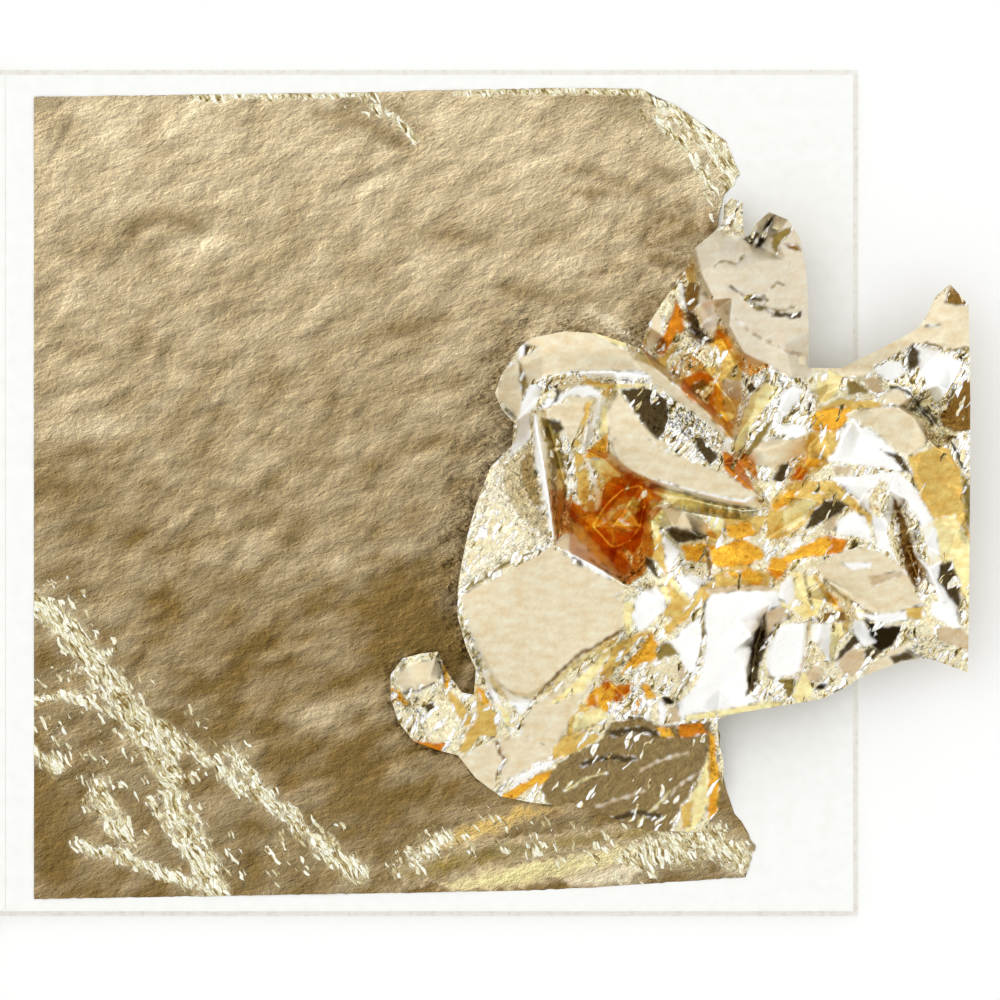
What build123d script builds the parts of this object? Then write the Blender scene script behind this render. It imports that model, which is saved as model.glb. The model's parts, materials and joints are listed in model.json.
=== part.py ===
from build123d import *

import math
import os

import numpy as np
from scipy.spatial import Delaunay

os.makedirs("parts", exist_ok=True)

# Sheets: one loose metal leaf lies on each tissue page
leaf_side = 140.0
leaf_thickness = 0.03
tissue_thickness = 0.06
leaf_count = 25
page_margin = 3.0

# Wrapped card cover with its stapled edge on the left
card_thickness = 0.4
cover_overhang = 1.0
bound_margin = 10.0
binding_gap = 8.0

# Flat-wire staples
wire_width = 0.6
wire_thickness = 0.35
crown_length = 12.0
clinch_length = 4.5
staple_spread = 70.0
clinch_recess = 0.02

# Clearances and folds
sheet_gap = 0.02
slit_clearance = 0.05
hinge_gap = 0.03
crease_step = 0.2
fold_clearance = 0.1
seat_clearance = 0.3

# How the booklet lies open
turned_page_count = 2
fan_page_count = 6
page_turn_degrees = 150.0
cover_slope_length = 14.0
cover_slope_lead = 1.0
cover_slope_steps = 12

# The crumpled leaf stands this high over the torn one
crumple_height = 26.0
crumple_thickness = 0.2

# The photograph's own frame: its left and top leaf edges, and the pixels across one leaf
leaf_left_pixel = 34
leaf_top_pixel = 92
leaf_side_pixels = 802

# Torn leaf: outline in pixels of the photograph, clockwise from its upper left corner
torn_leaf_pixels = [
    (34, 97), (180, 95), (383, 92), (387, 106), (392, 92), (455, 90), (560, 88), (641, 89),
    (655, 97), (666, 100), (687, 112), (699, 127), (715, 133), (727, 143), (731, 153),
    (730, 166), (738, 173), (734, 187), (725, 193), (716, 230), (724, 300), (712, 372),
    (728, 450), (715, 528), (731, 604), (718, 668), (715, 720), (720, 760), (722, 800),
    (733, 829), (745, 850), (755, 868), (745, 877), (640, 884), (540, 890), (380, 893),
    (200, 896), (34, 899),
]

# Crumpled leaf, outline: pixel across, pixel down, share of the crumple height
crumple_outline_shares = {
    "lobe_tip": (495, 394, 0.30), "lobe_top": (502, 375, 0.30), "band_corner": (520, 348, 0.42),
    "band_a": (533, 339, 0.44), "band_b": (564, 333, 0.46), "band_c": (594, 335, 0.50),
    "band_d": (621, 344, 0.54), "band_end": (639, 350, 0.46), "stripe_low": (647, 326, 0.18),
    "stripe_high": (662, 303, 0.12), "valley_top": (684, 272, 0.10), "petal_left": (694, 249, 0.22),
    "petal_shoulder": (712, 234, 0.24), "tag_low": (722, 224, 0.12), "tag_a": (723, 206, 0.08),
    "tag_b": (731, 199, 0.08), "tag_c": (742, 203, 0.12), "tag_root": (742, 228, 0.20),
    "slit_root": (745, 240, 0.26), "peak_left": (755, 225, 0.30), "peak_tip": (767, 214, 0.32),
    "petal_a": (786, 222, 0.36), "petal_b": (797, 240, 0.38), "petal_c": (803, 268, 0.40),
    "petal_d": (805, 300, 0.42), "petal_e": (806, 335, 0.40), "petal_heel": (806, 369, 0.34),
    "arm_a": (839, 369, 0.22), "arm_b": (874, 352, 0.20), "arm_c": (895, 341, 0.20),
    "arm_d": (916, 329, 0.21), "horn_left": (925, 316, 0.20), "horn_a": (933, 298, 0.18),
    "horn_tip": (948, 285, 0.20), "horn_right": (966, 306, 0.24), "edge_a": (966, 335, 0.28),
    "edge_b": (966, 366, 0.36), "edge_c": (966, 400, 0.42), "edge_d": (966, 432, 0.40),
    "edge_e": (966, 470, 0.38), "edge_f": (966, 510, 0.36), "edge_g": (966, 552, 0.32),
    "edge_h": (966, 592, 0.28), "edge_i": (966, 634, 0.22), "edge_j": (966, 672, 0.16),
    "hem_a": (948, 665, 0.15), "hem_b": (928, 658, 0.14), "hem_c": (904, 660, 0.16),
    "hem_d": (884, 667, 0.18), "hem_e": (862, 675, 0.20), "hem_f": (842, 687, 0.22),
    "hem_g": (822, 697, 0.24), "hem_h": (800, 701, 0.30), "hem_i": (780, 704, 0.34),
    "hem_j": (755, 708, 0.36), "hem_k": (732, 712, 0.36), "rag_root": (716, 718, 0.28),
    "rag_a": (718, 740, 0.14), "rag_b": (723, 762, 0.12), "rag_c": (722, 786, 0.10),
    "rag_d": (718, 810, 0.06), "rag_e": (700, 832, 0.02), "rag_f": (672, 831, 0.02),
    "rag_g": (645, 830, 0.0), "rag_h": (618, 820, 0.0), "rag_i": (590, 808, 0.01),
    "tail_a": (560, 806, 0.0), "tail_b": (530, 802, 0.0), "tail_c": (500, 796, 0.0),
    "tail_d": (476, 778, 0.02), "tail_e": (458, 755, 0.05), "knot_a": (436, 749, 0.10),
    "knot_b": (414, 741, 0.09), "knot_c": (399, 722, 0.08), "knot_d": (391, 698, 0.08),
    "knot_e": (391, 674, 0.10), "knot_f": (403, 658, 0.14), "knot_g": (421, 653, 0.16),
    "knot_h": (438, 651, 0.16), "knot_i": (449, 674, 0.14), "knot_j": (462, 692, 0.10),
    "knot_k": (474, 694, 0.14), "side_a": (476, 668, 0.26), "side_b": (467, 648, 0.32),
    "side_c": (458, 616, 0.36), "side_d": (458, 590, 0.36), "side_e": (462, 563, 0.38),
    "side_f": (468, 534, 0.40), "side_g": (476, 505, 0.42), "side_h": (491, 467, 0.42),
    "side_i": (512, 446, 0.42), "side_j": (514, 424, 0.38), "lobe_low": (502, 410, 0.30),
}

# Crumpled leaf, inner folds: pixel across, pixel down, share of the crumple height
crumple_fold_shares = {
    # pale band at the upper left, and the bright ridge under it
    "band_in_a": (545, 352, 0.48), "band_in_b": (578, 352, 0.52), "band_in_c": (608, 356, 0.56),
    "band_in_d": (630, 362, 0.60), "lobe_in": (520, 372, 0.42), "ridge_a": (526, 392, 0.50),
    "ridge_b": (541, 382, 0.58), "ridge_c": (558, 378, 0.60), "ridge_d": (576, 375, 0.62),
    "ridge_e": (594, 374, 0.64), "ridge_f": (612, 374, 0.66), "ridge_g": (630, 376, 0.68),
    "ridge_h": (647, 380, 0.70), "under_a": (536, 400, 0.46), "under_b": (552, 392, 0.48),
    "under_c": (571, 388, 0.48), "under_d": (590, 387, 0.50), "under_e": (608, 386, 0.54),
    "throat_a": (545, 410, 0.44), "throat_b": (570, 405, 0.42), "throat_c": (592, 402, 0.46),
    # rough left facet, its bright stripe and the olive strips beside it
    "apex": (535, 424, 0.60), "stripe_a": (540, 450, 0.64), "stripe_b": (545, 478, 0.66),
    "stripe_c": (549, 506, 0.66), "stripe_d": (552, 532, 0.64), "facet_a": (524, 452, 0.52),
    "facet_b": (514, 484, 0.50), "facet_c": (527, 500, 0.56), "facet_d": (498, 522, 0.46),
    "facet_e": (520, 535, 0.52), "facet_f": (486, 552, 0.42), "olive_a": (549, 428, 0.48),
    "olive_b": (556, 452, 0.42), "olive_c": (562, 480, 0.36), "olive_d": (566, 508, 0.34),
    "olive_e": (570, 532, 0.40),
    # big pale plateau and its silvery upper edge
    "fold_a": (476, 578, 0.40), "fold_b": (492, 572, 0.44), "fold_c": (508, 565, 0.48),
    "fold_d": (530, 555, 0.54), "fold_e": (552, 545, 0.60), "crest_a": (570, 553, 0.58),
    "crest_b": (588, 562, 0.56), "crest_c": (607, 573, 0.54), "crest_d": (625, 585, 0.54),
    "flat_a": (505, 600, 0.44), "flat_b": (540, 590, 0.49), "flat_c": (575, 595, 0.51),
    "flat_d": (600, 610, 0.51), "flat_e": (490, 632, 0.40), "flat_f": (525, 632, 0.44),
    "flat_g": (560, 632, 0.47), "flat_h": (508, 660, 0.38), "flat_i": (540, 658, 0.42),
    "brim_a": (474, 630, 0.38), "brim_b": (483, 654, 0.35), "brim_c": (496, 678, 0.34),
    "brim_d": (512, 690, 0.34), "brim_e": (530, 692, 0.36), "brim_f": (550, 678, 0.39),
    "brim_g": (568, 662, 0.42), "brim_h": (588, 648, 0.44), "brim_i": (608, 635, 0.46),
    "brim_j": (626, 622, 0.48), "drop_a": (492, 690, 0.20), "drop_b": (508, 701, 0.18),
    "drop_c": (530, 702, 0.20), "drop_d": (554, 688, 0.24), "drop_e": (574, 670, 0.28),
    "drop_f": (594, 656, 0.31), "drop_g": (614, 643, 0.34),
    # deep amber hollow and its curls
    "hollow_a": (582, 498, 0.26), "hollow_b": (592, 526, 0.14), "hollow_c": (604, 506, 0.10),
    "hollow_d": (622, 490, 0.10), "hollow_e": (612, 548, 0.14), "hollow_f": (630, 540, 0.08),
    "hollow_g": (644, 508, 0.10), "hollow_h": (632, 566, 0.22), "curl_a": (612, 526, 0.22),
    "curl_b": (626, 508, 0.24), "curl_c": (640, 526, 0.22), "lip_a": (572, 470, 0.40),
    "lip_b": (582, 448, 0.46), "lip_c": (588, 424, 0.50), "lip_d": (596, 474, 0.30),
    "lip_e": (576, 548, 0.38), "lip_f": (594, 556, 0.36), "lip_g": (614, 572, 0.40),
    "lip_h": (650, 520, 0.34), "lip_i": (654, 548, 0.40), "lip_j": (644, 572, 0.46),
    # pale tongue, and the drop under its lower edge
    "tongue_a": (604, 412, 0.62), "tongue_b": (618, 395, 0.66), "tongue_c": (628, 412, 0.68),
    "tongue_d": (640, 430, 0.70), "tongue_e": (666, 448, 0.72), "tongue_f": (692, 456, 0.74),
    "tongue_g": (718, 464, 0.76), "tongue_h": (736, 479, 0.76), "tongue_tip": (754, 495, 0.74),
    "tongue_i": (742, 503, 0.70), "tongue_j": (722, 500, 0.68), "tongue_k": (702, 495, 0.66),
    "tongue_l": (682, 490, 0.64), "tongue_m": (662, 485, 0.62), "tongue_n": (643, 478, 0.60),
    "tongue_o": (624, 468, 0.60), "tongue_p": (608, 452, 0.60), "tongue_q": (602, 432, 0.62),
    "tongue_mid_a": (625, 442, 0.67), "tongue_mid_b": (655, 464, 0.68),
    "tongue_mid_c": (695, 477, 0.71), "brink_a": (605, 460, 0.38), "brink_b": (622, 475, 0.26),
    "brink_c": (641, 485, 0.20), "brink_d": (661, 492, 0.24), "brink_e": (681, 497, 0.30),
    "brink_f": (701, 502, 0.34), "brink_g": (721, 507, 0.38), "brink_h": (742, 510, 0.44),
    # dark rough facet, and the long pale ridge over it
    "dark_a": (638, 396, 0.66), "dark_b": (652, 412, 0.66), "dark_c": (668, 430, 0.68),
    "dark_d": (664, 398, 0.76), "dark_e": (684, 418, 0.80), "dark_f": (688, 440, 0.74),
    "dark_g": (706, 440, 0.84), "dark_h": (712, 454, 0.78), "long_a": (654, 372, 0.76),
    "long_b": (670, 384, 0.82), "long_c": (686, 397, 0.88), "long_d": (702, 412, 0.94),
    "long_e": (716, 427, 1.00), "long_f": (729, 444, 0.98), "long_g": (728, 456, 0.88),
    "sliver_a": (734, 462, 0.60), "sliver_b": (746, 476, 0.56), "sliver_c": (757, 488, 0.60),
    # amber valley between the long ridge and the petal
    "foot_a": (658, 364, 0.36), "foot_b": (676, 378, 0.32), "foot_c": (694, 393, 0.34),
    "foot_d": (711, 410, 0.38), "foot_e": (724, 424, 0.46), "valley_a": (666, 340, 0.18),
    "valley_b": (676, 316, 0.12), "valley_c": (686, 296, 0.10), "valley_d": (684, 350, 0.20),
    "valley_e": (698, 330, 0.12), "valley_f": (702, 362, 0.18), "valley_g": (716, 386, 0.22),
    "valley_h": (712, 344, 0.22), "valley_i": (730, 402, 0.30), "glint_a": (700, 305, 0.22),
    "glint_b": (712, 330, 0.28), "wall_a": (692, 284, 0.14), "wall_b": (708, 318, 0.18),
    "wall_c": (722, 340, 0.22), "wall_d": (734, 364, 0.26), "wall_e": (736, 390, 0.34),
    "wall_f": (734, 416, 0.46),
    # petal at the upper right
    "petal_in_a": (699, 274, 0.36), "petal_in_b": (712, 302, 0.42), "petal_in_c": (727, 328, 0.48),
    "petal_in_d": (740, 354, 0.52), "petal_in_e": (716, 262, 0.36), "petal_in_f": (736, 272, 0.40),
    "petal_in_g": (730, 300, 0.45), "petal_in_h": (752, 306, 0.45), "petal_in_i": (772, 318, 0.47),
    "petal_in_j": (756, 340, 0.51), "petal_in_k": (782, 346, 0.48), "petal_in_l": (766, 366, 0.54),
    "petal_in_m": (788, 372, 0.50), "petal_in_n": (760, 262, 0.40), "petal_in_o": (784, 262, 0.41),
    "petal_in_p": (784, 292, 0.45), "slit_a": (758, 246, 0.24), "slit_b": (766, 232, 0.20),
    "slit_c": (775, 236, 0.38), "slit_d": (750, 256, 0.34), "petal_in_q": (718, 246, 0.30),
    # crinkled silver leaf under the petal
    "silver_a": (748, 378, 0.40), "silver_b": (768, 382, 0.56), "silver_c": (788, 386, 0.56),
    "silver_d": (806, 392, 0.50), "silver_e": (810, 414, 0.54), "silver_f": (802, 434, 0.60),
    "silver_g": (780, 444, 0.66), "silver_h": (758, 452, 0.70), "silver_i": (742, 446, 0.72),
    "silver_j": (746, 420, 0.62), "silver_k": (756, 400, 0.56), "silver_l": (774, 412, 0.66),
    "silver_m": (790, 416, 0.58), "silver_n": (768, 432, 0.60), "ledge_a": (806, 446, 0.46),
    "ledge_b": (790, 462, 0.50), "ledge_c": (770, 474, 0.56), "ledge_d": (754, 468, 0.62),
    # right arm
    "arm_in_a": (826, 384, 0.34), "arm_in_b": (848, 384, 0.28), "arm_in_c": (872, 370, 0.30),
    "arm_in_d": (896, 360, 0.28), "arm_in_e": (920, 346, 0.26), "arm_in_f": (944, 316, 0.24),
    "arm_in_g": (944, 344, 0.28), "shine_a": (884, 378, 0.42), "shine_b": (904, 374, 0.38),
    "shine_c": (922, 364, 0.44), "shine_d": (944, 364, 0.38), "shine_e": (934, 386, 0.46),
    "shine_f": (912, 394, 0.44), "brown_a": (950, 392, 0.38), "brown_b": (946, 414, 0.30),
    "brown_c": (954, 436, 0.36), "crack_a": (914, 408, 0.22), "crack_b": (928, 418, 0.18),
    "crack_c": (938, 434, 0.26), "amber_a": (878, 398, 0.50), "amber_b": (854, 402, 0.50),
    "amber_c": (834, 410, 0.50), "amber_d": (822, 430, 0.48), "amber_e": (808, 458, 0.44),
    "amber_f": (794, 478, 0.46), "amber_g": (822, 396, 0.36), "facet_g": (850, 420, 0.44),
    "facet_h": (868, 414, 0.52), "facet_i": (892, 408, 0.54), "facet_j": (910, 420, 0.52),
    "facet_k": (922, 440, 0.48), "facet_l": (902, 456, 0.48), "facet_m": (878, 442, 0.42),
    "facet_n": (858, 434, 0.40), "white_a": (838, 440, 0.50), "white_b": (826, 462, 0.54),
    "white_c": (850, 456, 0.46), "white_d": (874, 462, 0.46), "white_e": (892, 474, 0.44),
    "gold_a": (912, 464, 0.42), "gold_b": (934, 450, 0.46), "gold_c": (950, 466, 0.46),
    "gold_d": (938, 484, 0.42), "gold_e": (920, 492, 0.38), "gold_f": (954, 500, 0.44),
    "gold_g": (934, 518, 0.38), "gold_h": (952, 534, 0.40), "gold_i": (944, 558, 0.34),
    "gold_j": (956, 588, 0.30), "cord_a": (884, 490, 0.50), "cord_b": (896, 512, 0.30),
    "cord_c": (904, 500, 0.44), "cord_d": (910, 528, 0.46), "cord_e": (904, 546, 0.30),
    "cord_f": (922, 546, 0.30), "cord_g": (924, 568, 0.44), "cord_h": (914, 576, 0.34),
    "cord_i": (934, 588, 0.40), "cord_j": (938, 612, 0.34), "cord_k": (866, 486, 0.40),
    "cord_l": (876, 512, 0.46), "cord_m": (888, 534, 0.48), "nook_a": (852, 510, 0.34),
    "nook_b": (862, 530, 0.38),
    # yellow middle under the tongue
    "middle_a": (662, 508, 0.24), "middle_b": (682, 512, 0.36), "middle_c": (704, 516, 0.46),
    "middle_d": (726, 520, 0.48), "middle_e": (748, 522, 0.50), "middle_f": (768, 508, 0.54),
    "middle_g": (786, 496, 0.56), "middle_h": (806, 484, 0.52), "middle_i": (830, 480, 0.48),
    "middle_j": (848, 484, 0.46), "middle_k": (840, 500, 0.40), "middle_l": (818, 502, 0.50),
    "middle_m": (800, 516, 0.40), "middle_n": (782, 528, 0.38), "middle_o": (822, 524, 0.44),
    "middle_p": (838, 528, 0.36), "middle_q": (760, 540, 0.44), "middle_r": (740, 548, 0.36),
    "middle_s": (716, 540, 0.38), "middle_t": (694, 534, 0.30), "middle_u": (674, 530, 0.34),
    "middle_v": (802, 540, 0.46), "middle_w": (780, 552, 0.46), "middle_x": (760, 566, 0.40),
    "middle_y": (822, 548, 0.40), "middle_z": (790, 572, 0.40),
    # pale facet at the right
    "shelf_a": (806, 562, 0.38), "shelf_b": (830, 552, 0.42), "shelf_c": (852, 544, 0.44),
    "shelf_d": (874, 550, 0.46), "shelf_e": (892, 560, 0.46), "shelf_f": (906, 578, 0.42),
    "shelf_g": (916, 596, 0.40), "shelf_h": (898, 606, 0.34), "shelf_i": (874, 606, 0.32),
    "shelf_j": (848, 594, 0.32), "shelf_k": (824, 580, 0.34), "shelf_l": (862, 574, 0.40),
    # white plateau, its curved brown strip and the folds beside it
    "snow_a": (710, 592, 0.46), "snow_b": (732, 588, 0.48), "snow_c": (754, 586, 0.50),
    "snow_d": (776, 588, 0.50), "snow_e": (708, 616, 0.46), "snow_f": (704, 642, 0.44),
    "snow_g": (690, 668, 0.40), "snow_h": (680, 692, 0.38), "snow_i": (734, 618, 0.48),
    "snow_j": (728, 650, 0.47), "snow_k": (718, 684, 0.44), "snow_l": (748, 634, 0.49),
    "snow_m": (742, 668, 0.46), "bow_a": (768, 604, 0.44), "bow_b": (760, 622, 0.38),
    "bow_c": (754, 644, 0.36), "bow_d": (750, 668, 0.36), "bow_e": (748, 692, 0.38),
    "bow_f": (782, 610, 0.52), "bow_g": (774, 634, 0.50), "bow_h": (768, 660, 0.48),
    "bow_i": (764, 686, 0.44), "pleat_a": (800, 596, 0.40), "pleat_b": (800, 620, 0.52),
    "pleat_c": (798, 648, 0.50), "pleat_d": (792, 676, 0.46), "pleat_e": (808, 670, 0.36),
    "pleat_f": (814, 644, 0.38), "pleat_g": (818, 616, 0.42), "pleat_h": (834, 604, 0.48),
    "pleat_i": (838, 626, 0.52), "pleat_j": (836, 650, 0.46), "pleat_k": (826, 674, 0.34),
    "pleat_l": (848, 668, 0.30), "pleat_m": (858, 648, 0.34), "pleat_n": (856, 622, 0.36),
    "pleat_o": (874, 632, 0.28), "pleat_p": (892, 628, 0.32), "pleat_q": (886, 650, 0.26),
    "pleat_r": (908, 642, 0.24), "pleat_s": (918, 622, 0.34), "pleat_t": (932, 640, 0.26),
    "pleat_u": (950, 626, 0.28), "pleat_v": (950, 646, 0.20),
    # folds between the hollow and the white plateau
    "braid_a": (662, 576, 0.50), "braid_b": (674, 554, 0.46), "braid_c": (684, 578, 0.56),
    "braid_d": (700, 566, 0.46), "braid_e": (718, 568, 0.42), "braid_f": (738, 572, 0.42),
    "braid_g": (640, 592, 0.56), "braid_h": (634, 608, 0.52), "braid_i": (656, 596, 0.52),
    "braid_j": (672, 600, 0.56), "braid_k": (690, 598, 0.50), "braid_l": (664, 618, 0.50),
    "braid_m": (644, 628, 0.50), "braid_n": (682, 622, 0.44), "braid_o": (672, 642, 0.46),
    "braid_p": (652, 648, 0.42), "braid_q": (632, 646, 0.44), "braid_r": (668, 664, 0.38),
    "braid_s": (650, 670, 0.36), "braid_t": (630, 664, 0.34), "braid_u": (660, 690, 0.32),
    "braid_v": (642, 694, 0.26), "braid_w": (664, 708, 0.28), "braid_x": (684, 712, 0.32),
    "braid_y": (700, 706, 0.36), "braid_z": (708, 716, 0.34),
    # pale strand running down to the tail
    "strand_a": (612, 658, 0.38), "strand_b": (598, 676, 0.34), "strand_c": (586, 696, 0.30),
    "strand_d": (578, 714, 0.26), "strand_e": (562, 700, 0.26), "strand_f": (546, 714, 0.22),
    "strand_g": (530, 722, 0.18), "strand_h": (514, 736, 0.14), "strand_i": (500, 752, 0.10),
    "strand_j": (556, 734, 0.18), "strand_k": (536, 750, 0.13), "strand_l": (518, 768, 0.08),
    "strand_m": (560, 756, 0.12), "strand_n": (544, 778, 0.06), "strand_o": (512, 712, 0.16),
    "strand_p": (494, 718, 0.14), "strand_q": (492, 738, 0.10), "strand_r": (478, 724, 0.11),
    "strand_s": (476, 746, 0.07), "strand_t": (492, 772, 0.05), "strand_u": (610, 682, 0.20),
    "strand_v": (622, 694, 0.14), "strand_w": (604, 700, 0.22), "strand_x": (630, 712, 0.20),
    "strand_y": (596, 722, 0.20), "strand_z": (576, 740, 0.14),
    # knot at the lower left
    "knot_in_a": (412, 684, 0.22), "knot_in_b": (430, 674, 0.24), "knot_in_c": (424, 704, 0.20),
    "knot_in_d": (442, 694, 0.16), "knot_in_e": (410, 712, 0.12), "knot_in_f": (430, 728, 0.15),
    "knot_in_g": (450, 716, 0.11), "knot_in_h": (454, 736, 0.08), "knot_in_i": (466, 714, 0.10),
    # rough brown rag at the bottom
    "rag_in_a": (616, 730, 0.22), "rag_in_b": (644, 724, 0.26), "rag_in_c": (672, 728, 0.28),
    "rag_in_d": (698, 730, 0.26), "rag_in_e": (590, 752, 0.14), "rag_in_f": (618, 756, 0.16),
    "rag_in_g": (648, 752, 0.18), "rag_in_h": (680, 754, 0.18), "rag_in_i": (704, 756, 0.20),
    "rag_in_j": (572, 778, 0.06), "rag_in_k": (600, 782, 0.08), "rag_in_l": (632, 782, 0.10),
    "rag_in_m": (664, 782, 0.11), "rag_in_n": (692, 784, 0.12), "rag_in_o": (708, 786, 0.16),
    "rag_in_p": (620, 804, 0.04), "rag_in_q": (650, 808, 0.05), "rag_in_r": (680, 810, 0.06),
    "rag_in_s": (704, 812, 0.10),
}

# Levels, counted up from the table
tissue_count = leaf_count + 1
first_lying_tissue = turned_page_count + 1
pair_height = tissue_thickness + leaf_thickness


def tissue_level(number):
    """Underside of a tissue page where all the pages lie flat on each other."""
    return card_thickness + (tissue_count - number) * pair_height


def leaf_level(number):
    """Underside of a leaf, which lies on the tissue page after it."""
    return tissue_level(number + 1) + tissue_thickness


stack_top = tissue_level(1) + tissue_thickness
flange_top = stack_top + card_thickness
crown_top = flange_top + wire_thickness
turned_cover_low = crown_top + sheet_gap
turned_cover_top = turned_cover_low + card_thickness

# Places across the booklet, from the middle of the back cover
cover_free_width = binding_gap + leaf_side + page_margin + cover_overhang
tissue_free_width = cover_free_width - cover_overhang
cover_width = bound_margin + cover_free_width
spine_x = -cover_width / 2
crease_x = spine_x + bound_margin
cover_free_x = cover_width / 2
page_free_x = cover_free_x - cover_overhang
leaf_left_x = crease_x + binding_gap
cover_depth = leaf_side + 2 * (page_margin + cover_overhang)
tissue_depth = leaf_side + 2 * page_margin
tissue_bound_x = spine_x + card_thickness + slit_clearance
staple_x = (spine_x + crease_x) / 2
staple_places = {"staple_upper": staple_spread / 2, "staple_lower": -staple_spread / 2}

# The turned sheets stand up beside the fold of the cover, then swing about one line over it
riser_step = sheet_gap + tissue_thickness


def riser_x(number):
    """Left side of the upright strip of a turned tissue page."""
    return crease_x + sheet_gap + (number - 1) * riser_step


def turned_level(number):
    """Underside of a turned tissue page where it lies over the staples."""
    return turned_cover_top + sheet_gap + (number - 1) * riser_step


fold_x = riser_x(turned_page_count) + tissue_thickness + sheet_gap
fold_z = turned_level(turned_page_count) + tissue_thickness + sheet_gap

# A page that turns has to clear that line at the end of its travel
page_hinge_z = tissue_level(first_lying_tissue) + tissue_thickness
rise_angle = math.radians(180 - page_turn_degrees)
page_crease_x = fold_x + (fold_z + fold_clearance - page_hinge_z) / math.tan(rise_angle)


def page_crease(number):
    """Where a turning page bends: each page bends a little further in than the one over it."""
    return page_crease_x + (number - first_lying_tissue) * crease_step


def slab(x_low, x_high, depth, z_low, height):
    """A flat sheet between two places across, centred from head to foot."""
    middle = ((x_low + x_high) / 2, 0, z_low + height / 2)
    return Pos(*middle) * Box(x_high - x_low, depth, height)


def side_profile(points, depth):
    """A shape drawn from the foot of the booklet (across, up), as deep as the sheet."""
    face = Plane.XZ * Polygon(*points, align=None)
    return extrude(face, amount=depth / 2, both=True)


def leg_slits(low, high):
    """Slits through which both legs of both staples pass."""
    slits = []
    leg_y = (crown_length - wire_thickness) / 2
    for staple_y in staple_places.values():
        for side in (-1, 1):
            place = (staple_x, staple_y + side * leg_y, (low + high) / 2)
            slit = Box(wire_width + 2 * slit_clearance, wire_thickness + 2 * slit_clearance,
                       high - low)
            slits.append(Pos(*place) * slit)
    return slits


def staple(staple_y):
    """Flat wire: a crown on the cover, two legs, and two ends clinched into the back card."""
    half = crown_length / 2
    low = clinch_recess
    clinch_top = low + wire_thickness
    outline = [
        (-half, low), (-half, crown_top), (half, crown_top), (half, low),
        (half - clinch_length, low), (half - clinch_length, clinch_top),
        (half - wire_thickness, clinch_top), (half - wire_thickness, flange_top),
        (-half + wire_thickness, flange_top), (-half + wire_thickness, clinch_top),
        (-half + clinch_length, clinch_top), (-half + clinch_length, low),
    ]
    face = Plane.YZ * Polygon(*outline, align=None)
    wire = extrude(face, amount=wire_width / 2, both=True)
    return Pos(staple_x, staple_y, 0) * wire


def cover_spine():
    """The stapled part of the cover: both bound strips, the spine and the turned-up fold."""
    fold_left = crease_x - card_thickness
    outline = [
        (crease_x, 0), (spine_x, 0), (spine_x, flange_top), (fold_left, flange_top),
        (fold_left, turned_cover_top), (crease_x, turned_cover_top), (crease_x, stack_top),
        (spine_x + card_thickness, stack_top), (spine_x + card_thickness, card_thickness),
        (crease_x, card_thickness),
    ]
    card = side_profile(outline, cover_depth)
    for slit in leg_slits(stack_top, flange_top):
        card -= slit
    channel_width = wire_width + 2 * slit_clearance
    channel_length = clinch_length + 2 * slit_clearance
    for staple_y in staple_places.values():
        for side in (-1, 1):
            channel_y = staple_y + side * (crown_length - clinch_length) / 2
            place = (staple_x, channel_y, card_thickness / 2)
            card -= Pos(*place) * Box(channel_width, channel_length, card_thickness)
    return card


def turned_sheet(near_x, level, width, depth, thickness):
    """A sheet that lies turned over to the left: flat over the staples, then down an S-shaped
    slope (half a cosine wave) past the spine, then flat on the table."""
    slope_start = spine_x - cover_slope_lead
    shares = np.linspace(0, 1, cover_slope_steps + 1)
    slope_x = slope_start - cover_slope_length * shares
    slope_z = level - turned_cover_low * (1 - np.cos(math.pi * shares)) / 2
    slope_path = np.hypot(np.diff(slope_x), np.diff(slope_z)).sum()
    far_x = slope_x[-1] - (width - (near_x - slope_start) - slope_path)
    across = [near_x, *slope_x.tolist(), far_x]
    low = [level, *slope_z.tolist(), slope_z[-1]]
    under = list(zip(across, low))
    over = [(x, z + thickness) for x, z in reversed(under)]
    return side_profile(under + over, depth)


def tissue_stub(number):
    """The bound strip of a page that turns, slit for the staples."""
    low = tissue_level(number)
    if number <= turned_page_count:
        inner = riser_x(number)
        outer = inner + tissue_thickness
        top = turned_level(number) + tissue_thickness
        strip_top = low + tissue_thickness
        outline = [
            (tissue_bound_x, low), (outer, low), (outer, top), (inner, top),
            (inner, strip_top), (tissue_bound_x, strip_top),
        ]
        strip = side_profile(outline, tissue_depth)
    else:
        end_x = page_crease(number) - hinge_gap
        strip = slab(tissue_bound_x, end_x, tissue_depth, low, tissue_thickness)
    for slit in leg_slits(low, low + tissue_thickness):
        strip -= slit
    return strip


def turning_page(number):
    """The free part of a page that turns at its crease."""
    near_x = page_crease(number) + hinge_gap
    return slab(near_x, page_free_x, tissue_depth, tissue_level(number), tissue_thickness)


def lying_page(number):
    """A whole tissue page that stays down in the stack."""
    low = tissue_level(number)
    page = slab(tissue_bound_x, page_free_x, tissue_depth, low, tissue_thickness)
    for slit in leg_slits(low, low + tissue_thickness):
        page -= slit
    return page


def whole_leaf(number):
    """A square leaf lying on its page."""
    leaf_right_x = leaf_left_x + leaf_side
    return slab(leaf_left_x, leaf_right_x, leaf_side, leaf_level(number), leaf_thickness)


pixel = leaf_side / leaf_side_pixels


def across_and_along(pixel_x, pixel_y):
    """The place of a pixel of the photograph on the booklet."""
    x = leaf_left_x + (pixel_x - leaf_left_pixel) * pixel
    y = leaf_side / 2 - (pixel_y - leaf_top_pixel) * pixel
    return x, y


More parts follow.
